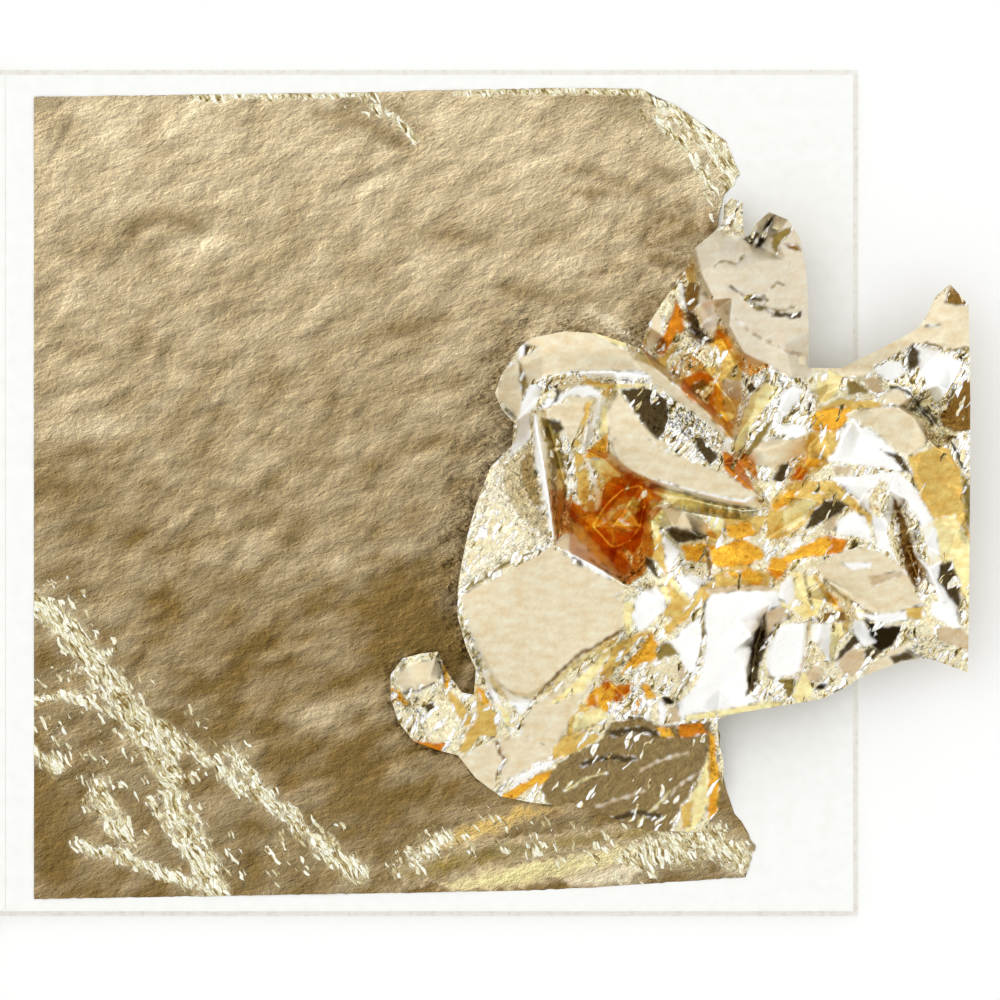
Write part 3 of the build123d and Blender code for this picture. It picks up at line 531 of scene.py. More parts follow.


# Beaten leaf, all metal, with colour, roughness, sparkle and share of slivers from the mesh's
# own values, the colour with its painted light and shade. A sliver shows where its own value is
# less than the share there
def foilMaterial(name, look):
    material, tree, shader, inMm = startMaterial(name, {"Metallic": 1.0})
    tintWithPaintedLight, rough, sparkle, shards = [addNode(tree, "ShaderNodeAttribute", {"attribute_name": key})
                                    for key in ("tintWithPaintedLight", "rough", "sparkle", "shards")]
    tree.links.new(rough.outputs["Fac"], shader.inputs["Roughness"])
    toned, wrinkleHeight = paintWrinkleShade(tree, look, inMm, tintWithPaintedLight, sparkle)
    sliver, pick = sliverColour(tree, look, inMm)
    mask = addNode(tree, "ShaderNodeMath", {"operation": "LESS_THAN"},
                   links={0: (pick, "Y"), 1: (shards, "Fac")})
    mixed = addNode(tree, "ShaderNodeMix", {"data_type": "RGBA"},
                    links={"Factor": (mask, "Value"), 6: (toned, "Vector"), 7: (sliver, "Vector")})
    tree.links.new(mixed.outputs[2], shader.inputs["Base Color"])
    normal = glintingNormal(tree, look, inMm, wrinkleHeight, sparkle)
    tree.links.new(normal.outputs["Vector"], shader.inputs["Normal"])
    return material


# The torn leaf. Its grid, of which the underside keeps every eighth point, as coarse says, and its
# edges in pixels, x and y in turn, but y and x for the right one. A nibble is a noise along an
# edge: pixels deep, pixels long, and its seed
tornSet = {
    "columns": 296, "rows": 296, "coarse": 8, "top": 88, "bottom": 899,
    "head": [34, 97, 180, 95, 300, 93.5, 383, 92, 387, 106, 392, 92, 455, 90, 560, 88, 641, 89, 760, 89],
    "foot": [34, 899, 200, 896, 380, 893, 540, 890, 640, 884, 745, 877, 760, 877],
    "right": [88, 641, 97, 655, 100, 666, 112, 687, 127, 699, 133, 715, 143, 727, 153, 731, 166, 730,
              173, 738, 187, 734, 193, 725, 230, 716, 300, 724, 372, 712, 450, 728, 528, 715, 604, 731,
              668, 718, 720, 715, 760, 720, 800, 722, 829, 733, 850, 745, 868, 755, 900, 745],
    "headNibbles": [(0.8, 5, 7)], "footNibbles": [(1.0, 7, 8)],
    "rightNibbles": [(3.2, 9, 5), (2.0, 3.4, 6)],
    # wrinkles, billows and blotches: length and width in mm, turn in degrees, height in mm
    "wrinkleMm": (5.0, 3.2), "wrinkleTurn": 28, "wrinkleHeight": 0.15,
    "billowMm": (17.0, 10.0), "billowTurn": 26, "billowHeight": 0.45, "smallBillow": (2.1, 0.5),
    "blotchMm": (8.0, 4.0), "blotchTurn": 24, "smallBlotch": (2, 0.6),
    # a streak's width, and wavering values as a mean, a spread, a length in pixels and a seed
    "streakWidth": 0.85, "widthWavers": (1, 0.6, 16, 55), "glintWavers": (0.86, 0.5, 12, 56),
    "fieldWavers": (0.8, 0.9, 24, 57), "crinkleMm": 2.4, "crinkleHeight": 0.45, "crinkleLift": 0.2,
    # where the crumpled leaf presses on it, in pixels, and how high the foil may stand, in mm
    "coverLeft": 470, "coverHead": 330, "coverFoot": 800, "coverSoft": 14, "pressed": 0.85,
    "lowest": 0.01, "highestCovered": 0.27, "moreInTheOpen": 3, "lowPercent": 0.5,
    "edgePixels": 14, "edgeHeight": 0.25,
    # its colours: a shaded copy (deep) and a lit copy (bright) of the brass, and the painted highlight
    # (glow) of its streaks; its tone, painted light, from 0 for deep to 1 for bright, with its fall
    # from head to foot
    "bright": "#DCC9A4", "deep": "#8C764E", "glow": "#F4EDCE", "base": "tan",
    "headTone": 0.78, "toneFall": 0.66, "fallFrom": 100, "fallOver": 520,
    "footFall": 0.09, "footFrom": 590, "footOver": 60, "toneLimits": (-0.12, 1.15),
    "billowTone": 0.14, "blotchTone": 0.26, "wrinkleTone": 0.06, "bandTone": 1.4, "bandBlotch": 0.6,
    # patches: how sharp their edges are in pixels, and their share over the tone
    "softPixels": 5, "bevelPixels": 8, "wanderPixels": 5, "patchGain": 4, "patchShare": 0.8,
    # shade of the wrinkles, from a look a short way toward the light, and finish of the foil
    "shade": 0.5, "lookMm": 0.35, "shadeLimits": (0.4, 1.6), "glowShare": 0.7, "glowPower": 1.3,
    "rough": 0.36, "glowSmooth": 0.16, "sparkle": 0.16, "glowSparkle": 0.2, "dullSparkle": 0.2,
    "dullBelow": 0.3, "shardGain": 1.5, "shardFrom": 0.15, "foilMm": 0.03,
}
# Bright crinkled streaks, raised and with a painted highlight in their colour: a path in pixels,
# x and y in turn, its half width in pixels, its height in mm
streaks = {
    "mainBand": ([34, 605, 68, 624, 93, 665, 122, 699, 141, 733, 165, 753, 175, 804, 214, 891], 19, 0.50),
    "bandBranch": ([122, 699, 165, 730, 214, 762, 240, 790], 9, 0.30),
    "upperStreak": ([34, 699, 75, 696, 107, 709], 7, 0.40),
    "shortStreak": ([34, 752, 59, 770], 8, 0.35),
    "blob": ([96, 788, 110, 815, 128, 838], 14, 0.50),
    "lowLine": ([78, 842, 150, 868, 214, 891], 8, 0.40),
    "innerStreak": ([150, 800, 175, 835, 205, 880], 7, 0.30),
    "rightStreak": ([234, 752, 260, 790, 310, 836, 360, 876], 11, 0.45),
    "lastStreak": ([330, 838, 352, 868], 5, 0.30),
    "headCrease": ([655, 118, 690, 152, 712, 192], 5, 0.30),
    "headEdge": ([656, 98, 704, 130, 730, 162, 734, 190, 724, 216], 13, 0.60),
    "notchCrease": ([372, 108, 392, 116, 416, 140], 5, 0.25),
    "rimLeft": ([190, 97, 300, 96, 372, 94], 3.5, 0.20),
    "rimRight": ([455, 93, 560, 91, 645, 92], 3.5, 0.20),
    "footRise": ([415, 858, 445, 836], 11, 0.40),
    "footCrinkle": ([635, 862, 700, 838, 745, 862], 21, 0.70),
}
# Wide crinkled fields between the streaks, their glint painted into the colour as a highlight: a
# path in pixels, its half width and its strength
crinkledFields = {
    "lowLeft": ([40, 700, 110, 790, 190, 850, 320, 850], 62, 0.20),
    "bandSide": ([60, 600, 150, 700, 250, 770], 36, 0.18),
    "headRight": ([650, 106, 704, 150, 724, 205], 24, 0.30),
    "foot": ([400, 862, 480, 830, 560, 845, 720, 850], 30, 0.24),
    "notch": ([330, 104, 400, 108], 16, 0.24),
}
# Broad soft changes of tone: a path in pixels, its half width in pixels, and the change. Most
# changes below nought are painted shade, along folds, in dark spots and beside the crumpled leaf,
# and those above nought are painted sheen
toneBands = {
    "headCorner": ([38, 104, 62, 128], 22, -0.30),
    "headPale": ([90, 130, 190, 122], 30, 0.10),
    "eye": ([132, 226, 164, 214, 196, 226], 11, -0.32),
    "eyeUnder": ([92, 250, 128, 240], 12, -0.18),
    "eyePale": ([165, 250, 225, 250], 13, 0.22),
    "diagonal": ([222, 302, 262, 262, 300, 248], 13, -0.22),
    "notch": ([345, 106, 400, 110], 10, -0.40),
    "notchDark": ([318, 114, 372, 126, 398, 142], 8, -0.34),
    "headFold": ([410, 232, 485, 240], 10, -0.22),
    "middleFold": ([395, 330, 445, 318], 10, -0.25),
    "rightFold": ([505, 288, 560, 300, 590, 296], 10, -0.28),
    "headShade": ([560, 97, 640, 100], 8, -0.30),
    "cornerShade": ([626, 114, 656, 124], 12, -0.28),
    "cornerDark": ([608, 184, 648, 192], 9, -0.36),
    "cornerDiagonal": ([652, 234, 684, 204], 8, -0.34),
    "cornerSmall": ([654, 168, 672, 178], 9, -0.30),
    "cornerLeft": ([568, 170, 598, 172], 7, -0.28),
    "hookFold": ([655, 238, 700, 226], 13, -0.40),
    "neckFold": ([628, 352, 652, 306], 12, -0.40),
    "olive": ([300, 455, 370, 400, 420, 385], 16, -0.16),
    "leftDark": ([36, 470, 80, 500], 26, -0.18),
    "leftPale": ([40, 430, 110, 425], 14, 0.20),
    "belowPale": ([270, 565, 400, 560], 20, 0.14),
    # Painted shadow of the crumpled leaf on the sheet beside its rough facet
    "besideFacet": ([398, 590, 430, 640], 34, -0.20),
    "knotPale": ([300, 715, 390, 715], 18, 0.14),
    "darkerLowBand": ([352, 772, 372, 822], 26, -0.16),
    "lowLeft": ([50, 800, 60, 860], 22, -0.22),
    "footDark": ([250, 860, 300, 880], 22, -0.12),
    "footFold": ([500, 830, 600, 840], 9, -0.2),
}
# Darker folds and paler flats of the torn leaf, painted shade and painted sheen: finish and
# corners in pixels
tornPatches = {
    "headBlot": ("rag", [640, 257, 660, 250, 690, 262, 697, 253, 690, 268, 664, 274]),
    "headLine": ("rag", [584, 274, 620, 263, 641, 261, 622, 272, 600, 278]),
    "upperFold": ("rag", [648, 238, 664, 223, 681, 209, 685, 217, 668, 232]),
    "lowerFold": ("rag", [627, 342, 640, 321, 650, 300, 656, 303, 646, 330, 636, 349]),
    "sideFold": ("rag", [556, 322, 585, 326, 604, 338, 575, 336]),
    "cornerFold": ("rag", [560, 190, 600, 186, 622, 194, 590, 200]),
    "paleFold": ("pale", [588, 309, 606, 315, 641, 341, 622, 338]),
    "footDusk": ("olive", [398, 872, 470, 846, 560, 836, 650, 826, 660, 836, 560, 850, 480, 866, 410, 884]),
    "footLine": ("gold", [420, 850, 470, 822, 520, 806, 560, 808, 520, 822, 460, 846]),
    "footBand": ("cream", [440, 886, 500, 870, 560, 858, 640, 846, 650, 852, 600, 866, 560, 876, 500, 888]),
    "footFlat": ("pale", [566, 880, 610, 868, 640, 866, 630, 880, 590, 886]),
    "tagBrown": ("bronze", [702, 222, 710, 206, 720, 212, 722, 232, 708, 236]),
}


# A fine grid of points made a closed sheet, with a coarse flat underside. Gives the points,
# the faces, the grid point that each point belongs to, and the rim's points
def sheetFaces(top, coarse, thickness):
    rows, columns = top.shape[:2]
    index = np.arange(rows * columns).reshape(rows, columns)
    a, b, c, d = index[:-1, :-1], index[1:, :-1], index[1:, 1:], index[:-1, 1:]
    faces = np.stack([a, b, c, d], axis=-1).reshape(-1, 4).tolist()
    coarseIndex = index[::coarse, ::coarse]
    lowRows, lowColumns = coarseIndex.shape
    low = rows * columns + np.arange(lowRows * lowColumns).reshape(lowRows, lowColumns)
    a, b, c, d = low[:-1, :-1], low[1:, :-1], low[1:, 1:], low[:-1, 1:]
    faces += np.stack([a, d, c, b], axis=-1).reshape(-1, 4).tolist()
    border = [(index[0], low[0]), (index[:, -1], low[:, -1]),
              (index[-1, ::-1], low[-1, ::-1]), (index[::-1, 0], low[::-1, 0])]
    for fine, wide in border:
        for k in range(len(wide) - 1):
            run = fine[k * coarse:(k + 1) * coarse + 1].tolist()
            faces.append(run + [int(wide[k + 1]), int(wide[k])])
    points = top.reshape(-1, 3)
    owner = np.concatenate([np.arange(rows * columns), coarseIndex.ravel()])
    under = points[coarseIndex.ravel()].copy()
    inner = np.zeros((lowRows, lowColumns), bool)
    inner[1:-1, 1:-1] = True
    under[:, 2] = np.where(inner.ravel(), points[:, 2].min(), under[:, 2]) - thickness
    rim = np.concatenate([fine for fine, wide in border])
    return np.concatenate([points, under]), faces, owner, rim


# A ragged edge: straight stretches between knots, plus a noise along it for each nibble
def raggedEdge(along, row, nibbles):
    edge = np.interp(along, row[::2], row[1::2])
    for deep, long, seed in nibbles:
        edge = edge + deep * softNoise(along / long, along * 0, seed)
    return edge


# Pixel places of the sheet's grid: columns shared out evenly between the left and right edges,
# rows between the head and foot edges. Also gives the distance to the nearest edge
def tornGrid():
    s = tornSet
    left = photo["leafLeft"]
    u, v = np.meshgrid(np.linspace(0, 1, s["columns"] + 1), np.linspace(0, 1, s["rows"] + 1))
    py = s["top"] + v * (s["bottom"] - s["top"])
    right = raggedEdge(py, s["right"], s["rightNibbles"])
    px = left + u * (right - left)
    head = raggedEdge(px, s["head"], s["headNibbles"])
    foot = raggedEdge(px, s["foot"], s["footNibbles"])
    py = head + v * (foot - head)
    return px, py, np.minimum(np.minimum(px - left, right - px), np.minimum(py - head, foot - py))


# The sheet's folds: faceted wrinkles, the same a short way toward the light, soft billows and
# blotches, each a large noise and a share of a smaller one
def tornFolds(x, y):
    s = tornSet
    wrinkles, lit = [crumple(*turned(x - away, y + away, s["wrinkleTurn"], *s["wrinkleMm"]),
                             seed=21, octaves=4)
                     for away in (0, s["lookMm"])]
    bu, bv = turned(x, y, s["billowTurn"], *s["billowMm"])
    finer, share = s["smallBillow"]
    billows = softNoise(bu, bv, seed=31) + share * softNoise(bu * finer, bv * finer, seed=32)
    finer, share = s["smallBlotch"]
    smallMm = np.array(s["blotchMm"]) / finer
    blotches = softNoise(*turned(x, y, s["blotchTurn"], *s["blotchMm"]), seed=33)
    blotches = blotches + share * softNoise(*turned(x, y, s["blotchTurn"], *smallMm), seed=34)
    return wrinkles, lit, billows, blotches


# Fades from 1 on a path to 0 beside it: e to the power of minus the distance over width, squared
def nearPath(px, py, row, width):
    return np.exp(-(pathDistance(px, py, pairsOf(row)) / width) ** 2)


# Height in mm and glint of the sheet: its folds, raised near a streak by its lift and a crinkle,
# and pressed down under the crumpled leaf and toward the edges
def tornRelief(px, py, fromEdge, wrinkles, billows):
    s = tornSet
    height = s["wrinkleHeight"] * wrinkles + s["billowHeight"] * billows
    crinkle = crumple(placeX(px) / mm / s["crinkleMm"], placeY(py) / mm / s["crinkleMm"],
                      seed=51, octaves=3)
    glint = np.zeros_like(px)
    for row, width, lift in streaks.values():
        wide = s["streakWidth"] * width * wavering(px, py, *s["widthWavers"])
        near = nearPath(px, py, row, wide)
        height = height + near * lift * (s["crinkleHeight"] * crinkle + s["crinkleLift"])
        glint = np.maximum(glint, near * wavering(px, py, *s["glintWavers"]))
    for row, width, strength in crinkledFields.values():
        near = strength * nearPath(px, py, row, width)
        glint = np.maximum(glint, near * wavering(px, py, *s["fieldWavers"]))
    covered = softStep(px, s["coverLeft"], s["coverSoft"]) * softStep(py, s["coverHead"], s["coverSoft"])
    covered = covered * softStep(-py, -s["coverFoot"], s["coverSoft"])
    height = height * (1 - s["pressed"] * covered)
    height = height - np.percentile(height, s["lowPercent"])
    inland = np.clip(fromEdge / s["edgePixels"], 0, 1)
    height = height * (s["edgeHeight"] + (1 - s["edgeHeight"]) * inland)
    highest = s["highestCovered"] + s["moreInTheOpen"] * (1 - covered)
    return np.clip(height, s["lowest"], highest), np.clip(glint, 0, 1).ravel()


# Colour of the sheet, light and shade painted into it: a blend of deep and bright, its shaded and
# lit copies, by its tone, then its patches, the painted shade of its wrinkles, which is their height
# less the height toward the light, and the painted highlight of its streaks' glow
def tornTint(px, py, wrinkles, lit, billows, blotches, glint):
    s = tornSet
    deep, bright, glow, base = [np.array(linearColour(colour)[:3]) for colour in
                                (s["deep"], s["bright"], s["glow"], finishesWithPaintedLight[s["base"]][0])]
    # Painted light: the sheet darkens from head to foot, and once more near the foot
    tone = s["headTone"] - s["toneFall"] * np.clip((py - s["fallFrom"]) / s["fallOver"], 0, 1)
    tone = tone + s["billowTone"] * billows + s["blotchTone"] * blotches + s["wrinkleTone"] * wrinkles
    tone = tone - s["footFall"] * np.clip((py - s["footFrom"]) / s["footOver"], 0, 1)
    for row, width, change in toneBands.values():
        near = nearPath(px, py, row, width)
        tone = tone + s["bandTone"] * change * near * (1 + s["bandBlotch"] * blotches)
    tone = np.clip(tone, *s["toneLimits"]).ravel()[:, None]
    paint = paintPatches(px.ravel(), py.ravel(), tornPatches, s["base"], s["softPixels"],
                         s["bevelPixels"], s["wanderPixels"], paintedFoldLightGain=0)[:, :3]
    patched = np.clip(np.abs(paint - base).sum(axis=1) * s["patchGain"], 0, 1)[:, None]
    # Painted light and shade: shaded and lit copies by tone, wrinkle shade and streak highlight
    tintWithPaintedLight = (1 - tone) * deep + tone * bright
    tintWithPaintedLight = tintWithPaintedLight + s["patchShare"] * patched * (paint - tintWithPaintedLight)
    tintWithPaintedLight = tintWithPaintedLight * np.clip(1 + s["shade"] * (wrinkles - lit), *s["shadeLimits"]).ravel()[:, None]
    return tintWithPaintedLight + s["glowShare"] * glint[:, None] ** s["glowPower"] * (glow - tintWithPaintedLight)


# The torn leaf's sheet, with its colour, roughness, sparkle and share of slivers at each point.
# A glint smooths the foil and adds sparkle and slivers, and a dull blotch sparkles a little too
def makeTornLeaf():
    s = tornSet
    px, py, fromEdge = tornGrid()
    x, y = placeX(px) / mm, placeY(py) / mm
    wrinkles, lit, billows, blotches = tornFolds(x, y)
    height, glint = tornRelief(px, py, fromEdge, wrinkles, billows)
    tintWithPaintedLight = tornTint(px, py, wrinkles, lit, billows, blotches, glint)
    rough = s["rough"] - s["glowSmooth"] * glint
    dull = np.clip(s["dullBelow"] - blotches, 0, 1).ravel()
    sparkle = s["sparkle"] + s["glowSparkle"] * glint + s["dullSparkle"] * dull
    shards = np.clip(s["shardGain"] * glint - s["shardFrom"], 0, 1)
    top = np.stack([x * mm, y * mm, (tornLow.z / mm + height) * mm], axis=-1)
    points, faces, owner, rim = sheetFaces(top, s["coarse"], s["foilMm"] * mm)
    values = {"tintWithPaintedLight": tintWithPaintedLight[owner], "rough": rough[owner], "sparkle": sparkle[owner],
              "shards": shards[owner]}
    leaf = meshObject("tornLeafSheet", points, faces, values)
    sharpenRim(leaf, rim)
    leaf.data.materials.append(foilMaterial("beatenLeafLaidFlat", flatLook))
    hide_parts("torn_leaf")
    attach(leaf, "torn_leaf")
    print("torn leaf", len(leaf.data.polygons), "faces, height", round(float(height.max()), 2), "mm")


# The crumpled leaf: its grid in mm, how sharply its folds bend in degrees, how its facets meet in
# pixels, and how high its crinkles stand and its sheet lies in mm. Crinkle is a mean length in mm,
# a seed and a count of octaves; streaky noises are lengths in pixels, a share and a seed
crumpleSet = {"stepMm": 0.27, "levels": 2, "creaseFrom": 10, "creaseSpan": 30, "foilMm": 0.05,
              "crinkle": (3.4, 81, 3), "base": "silver", "softPixels": 1.2, "bevelPixels": 4.5,
              "wanderPixels": 1.3, "paintedFoldLightGain": 1, "clearMm": 0.34, "bellyMm": 1.0, "mergeMm": 0.001,
              "upward": 1e-4, "rimPull": 0.96, "streaky": [(16, 7, 1, 95), (6, 3, 0.6, 96)],
              "streakTint": (0.18, 0.40, 0.70)}
# Its facets, each a finish and the corners of its outline in pixels, x and y in turn, or a line and
# its half width. Later ones lie on top. A finish's colour paints the light a facet reflects: white
# ones are painted highlights, dark ones painted shade, amber and ember ones painted light bounced in
# folds
facets = {
    # pale band at the upper left with the lobe and the bright ridge under it
    "band": ("pale", [517, 344, 540, 335, 565, 329, 600, 330, 645, 350, 672, 372, 702, 398, 734, 430,
        728, 446, 690, 415, 660, 392, 640, 376, 600, 372, 560, 374, 540, 380, 528, 392, 519, 362]),
    "bandWarm": ("cream", [588, 333, 606, 332, 634, 344, 662, 366, 672, 384, 655, 372, 625, 352]),
    "bandTan": ("tan", [664, 378, 672, 376, 700, 400, 726, 428, 716, 424, 690, 402]),
    "lobe": ("pale", [493, 394, 502, 375, 518, 360, 523, 388, 521, 419, 511, 421, 499, 406]),
    "lobeFold": ("olive", [518, 361, 523, 371, 527, 389, 523, 402, 520, 384]),
    "lobeShade": ("dark", [500, 403, 507, 409, 518, 419, 508, 416]),
    "cornerWhite": ("white", [519, 346, 527, 343, 523, 357, 518, 361]),
    "cornerDark": ("dark", [524, 346, 538, 349, 531, 354, 524, 358]),
    "ridge": ("glitter", [530, 384, 545, 378, 575, 372, 640, 373, 650, 380, 642, 389, 610, 394, 596, 387,
        560, 385, 545, 393, 536, 389]),
    "ridgeWhite": ("white", [575, 373, 640, 373, 648, 380, 602, 379]),
    "ridgeGold": ("gold", [580, 380, 600, 382, 615, 385, 612, 392, 596, 389, 583, 386]),
    "ridgeCream": ("cream", [614, 385, 646, 385, 638, 391, 612, 392]),
    "ridgeLine": ("shadow", [600, 381, 625, 382, 648, 384], 0.8),
    # neck, throat and the folds that run down from it
    "knotWhite": ("white", [523, 402, 526, 390, 532, 383, 541, 390, 537, 404, 528, 415, 520, 419]),
    "throatWhite": ("white", [538, 411, 548, 400, 560, 396, 578, 384, 598, 392, 601, 400, 586, 398,
        570, 396, 555, 406]),
    "throatDark": ("dark", [551, 405, 557, 388, 561, 393, 556, 404]),
    "throatPale": ("pale", [540, 416, 556, 407, 575, 397, 590, 400, 584, 420, 575, 438, 560, 440,
        556, 422]),
    "throatGold": ("gold", [584, 404, 592, 402, 586, 425, 578, 447, 571, 447, 580, 425]),
    "throatBright": ("white", [594, 404, 602, 401, 592, 432, 584, 453, 581, 449]),
    "throatCream": ("cream", [600, 404, 607, 414, 607, 434, 599, 444]),
    "throatAmber": ("amber", [583, 459, 592, 446, 606, 434, 608, 460]),
    "creamFan": ("cream", [584, 459, 608, 460, 618, 466, 616, 474, 600, 480, 593, 468]),
    "goldStrips": ("gold", [572, 452, 583, 455, 590, 490, 599, 520, 588, 515, 578, 500]),
    "whiteSliver": ("white", [586, 462, 590, 462, 601, 502, 597, 510, 592, 480]),
    "neckWhite": ("white", [518, 419, 530, 415, 530, 438, 520, 453, 507, 458, 516, 440]),
    "roughFacet": ("sand", [507, 458, 530, 440, 537, 480, 548, 530, 552, 542, 530, 546, 510, 553, 490, 568,
        470, 582, 457, 590, 461, 560, 470, 530, 482, 500, 495, 470]),
    "roughBright": ("silver", [494, 500, 503, 504, 514, 524, 540, 535, 505, 546, 480, 560, 463, 582,
        466, 560, 480, 530]),
    "roughDusk": ("dusk", [505, 464, 530, 442, 537, 480, 547, 520, 549, 536, 530, 528, 514, 510, 503, 488]),
    "roughBrown": ("brownSand", [520, 462, 531, 450, 537, 485, 542, 512, 531, 502, 522, 484]),
    "facetRim": ("olive", [466, 588, 490, 574, 512, 560, 550, 545], 1.6),
    "stripe": ("white", [532, 415, 538, 416, 546, 455, 549, 490, 553, 520, 556, 542, 551, 538, 545, 505,
        537, 470, 533, 440]),
    "oliveStrip": ("olive", [540, 418, 556, 422, 563, 450, 567, 480, 566, 500, 562, 520, 556, 540, 553, 505,
        550, 470, 546, 440]),
    "oliveGold": ("gold", [556, 470, 563, 468, 564, 500, 560, 522, 556, 530]),
    "stripTop": ("dark", [546, 420, 560, 422, 563, 430, 555, 434]),
    "silverEdge": ("glitter", [563, 430, 568, 445, 575, 470, 573, 500, 566, 520, 568, 480, 562, 450]),
    # the deep hollow, its orange painted light bounced between its folds
    "hollow": ("ember", [602, 488, 612, 477, 630, 475, 650, 485, 664, 500, 648, 505, 646, 522, 640, 545,
        634, 554, 622, 548, 629, 560, 627, 574, 620, 574, 604, 560, 586, 535, 568, 515, 571, 499, 590, 513,
        600, 510]),
    "hollowGold": ("amber", [572, 517, 596, 514, 605, 522, 590, 531, 578, 525]),
    "hollowCurl": ("gold", [608, 512, 613, 503, 624, 496, 640, 499, 636, 512, 622, 520, 630, 506, 618, 509,
        610, 520]),
    "hollowLip": ("amber", [606, 522, 618, 520, 640, 530, 640, 534, 620, 530]),
    "hollowFlame": ("amber", [618, 550, 628, 556, 629, 570, 621, 575, 612, 562]),
    "hollowRim": ("cream", [566, 516, 580, 526, 605, 556, 627, 579, 618, 579, 600, 562, 575, 537]),
    "ridgeLong": ("white", [553, 542, 565, 532, 574, 534, 600, 562, 625, 581, 600, 574, 575, 561]),
    "ridgeDark": ("dark", [572, 556, 580, 560, 583, 567, 575, 561]),
    "rimLine": ("olive", [588, 557, 600, 567, 622, 580], 0.8),
    # the big pale plateau and what borders it
    "plateau": ("pale", [460, 596, 472, 588, 500, 575, 552, 545, 572, 562, 600, 575, 623, 583, 625, 606,
        620, 629, 590, 651, 560, 672, 540, 692, 526, 699, 500, 688, 485, 664, 474, 640]),
    "plateauEdge": ("cream", [458, 606, 463, 628, 475, 654, 486, 672, 500, 690], 1.5),
    "plateauRim": ("olive", [456, 594, 462, 622, 472, 648, 480, 666], 1.3),
    "plateauSeam": ("bronze", [624, 628, 602, 640, 576, 655, 556, 674, 541, 690, 529, 702], 1.3),
    "brim": ("pale", [622, 632, 606, 648, 572, 680, 536, 702, 526, 714, 518, 740, 545, 762, 552, 748,
        568, 730, 580, 700, 600, 672, 614, 640]),
    "brimCream": ("cream", [606, 648, 614, 642, 600, 668, 582, 690, 560, 700, 545, 706, 572, 682]),
    "whiteCorner": ("white", [500, 684, 516, 695, 531, 697, 529, 709, 520, 713, 512, 704]),
    # tongue, dark facet and crinkles beside it
    "tongueRoot": ("pale", [606, 410, 617, 392, 640, 424, 662, 445, 640, 476, 618, 468, 608, 458]),
    "tongue": ("pale", [608, 440, 640, 436, 665, 452, 690, 462, 718, 474, 736, 482, 753, 492, 756, 503,
        735, 500, 700, 494, 660, 482, 620, 471]),
    "tongueLow": ("cream", [640, 479, 664, 487, 700, 500, 745, 512, 765, 515, 757, 530, 722, 522, 692, 512,
        664, 501]),
    "tongueGold": ("gold", [696, 504, 745, 514, 765, 516, 757, 534, 722, 527, 698, 514]),
    "tongueWhite": ("white", [640, 477, 700, 493, 735, 499, 753, 497, 753, 508, 738, 508, 700, 500,
        660, 487]),
    "tongueLine": ("shadow", [650, 485, 680, 493, 704, 501, 740, 508, 752, 509], 0.8),
    "darkFacet": ("dark", [618, 391, 640, 389, 652, 392, 664, 402, 668, 415, 664, 432, 656, 441, 645, 430,
        632, 412]),
    "darkCrinkle": ("glitter", [664, 402, 690, 415, 710, 430, 722, 445, 718, 463, 702, 467, 680, 456,
        658, 441, 668, 420]),
    "crinkleDark": ("dark", [690, 436, 700, 440, 716, 458, 706, 465, 694, 452]),
    "crinkleWhite": ("white", [716, 443, 728, 441, 726, 452, 718, 450]),
    "sliver": ("ember", [717, 451, 724, 454, 741, 466, 754, 493, 740, 487, 721, 471]),
    # valley under the petals
    "stripedPale": ("silver", [622, 350, 640, 322, 652, 310, 666, 299, 677, 294, 676, 316, 660, 350,
        648, 358]),
    "stripedWhite": ("pale", [652, 314, 664, 318, 660, 338, 650, 350, 644, 352, 648, 336]),
    "stripedBouncedLight": ("ember", [675, 300, 683, 314, 684, 330, 672, 346, 660, 358, 654, 352, 665, 330,
        672, 314]),
    "valleyFloor": ("gold", [655, 360, 684, 338, 714, 340, 716, 372, 700, 400, 724, 440, 700, 412, 676, 388,
        660, 376]),
    "valleyCrinkle": ("silver", [666, 362, 684, 336, 700, 338, 714, 352, 714, 366, 698, 371, 680, 380,
        664, 374]),
    "valleyDeep": ("ember", [676, 392, 684, 378, 700, 371, 714, 380, 718, 400, 712, 416, 724, 440,
        704, 414]),
    "valleyCentre": ("bronze", [689, 386, 702, 380, 712, 390, 706, 404, 695, 400]),
    "valleyGold": ("gold", [715, 322, 724, 332, 738, 354, 743, 380, 740, 400, 732, 425, 726, 442, 719, 425,
        718, 400, 713, 380, 720, 362, 714, 345]),
    "valleyAmber": ("amber", [714, 330, 722, 334, 734, 352, 726, 356, 712, 345]),
    "valleyBouncedLight": ("amber", [714, 384, 720, 384, 722, 408, 730, 426, 725, 441, 712, 420]),
    "valleyTan": ("tan", [722, 380, 741, 382, 737, 400, 724, 397]),
    "brownTop": ("bronze", [684, 281, 700, 284, 697, 300, 694, 314, 700, 328, 713, 343, 700, 346, 688, 333,
        684, 312]),
    "brownGrey": ("dark", [686, 312, 694, 314, 702, 330, 712, 342, 700, 342, 690, 330]),
    "tipGold": ("gold", [684, 268, 692, 263, 696, 284, 686, 282]),
    "leftSliver": ("white", [678, 286, 684, 281, 683, 300, 686, 313, 681, 306]),
    "glint": ("white", [700, 291, 709, 300, 717, 318, 714, 338, 703, 327, 696, 312]),
    # petals at the top
    "petal": ("ivory", [690, 252, 699, 236, 716, 229, 735, 241, 748, 230, 757, 220, 772, 210, 790, 222,
        799, 240, 806, 258, 810, 300, 811, 345, 810, 378, 790, 381, 770, 371, 745, 365, 735, 347, 722, 328,
        712, 300, 700, 291, 696, 270]),
    "petalSlit": ("shadow", [766, 221, 774, 217, 760, 249, 754, 249, 759, 236]),
    "petalFold": ("dark", [742, 241, 756, 232, 758, 236, 750, 248]),
    "petalPatch": ("olive", [769, 238, 780, 231, 790, 229, 788, 237, 779, 242, 775, 257, 770, 250]),
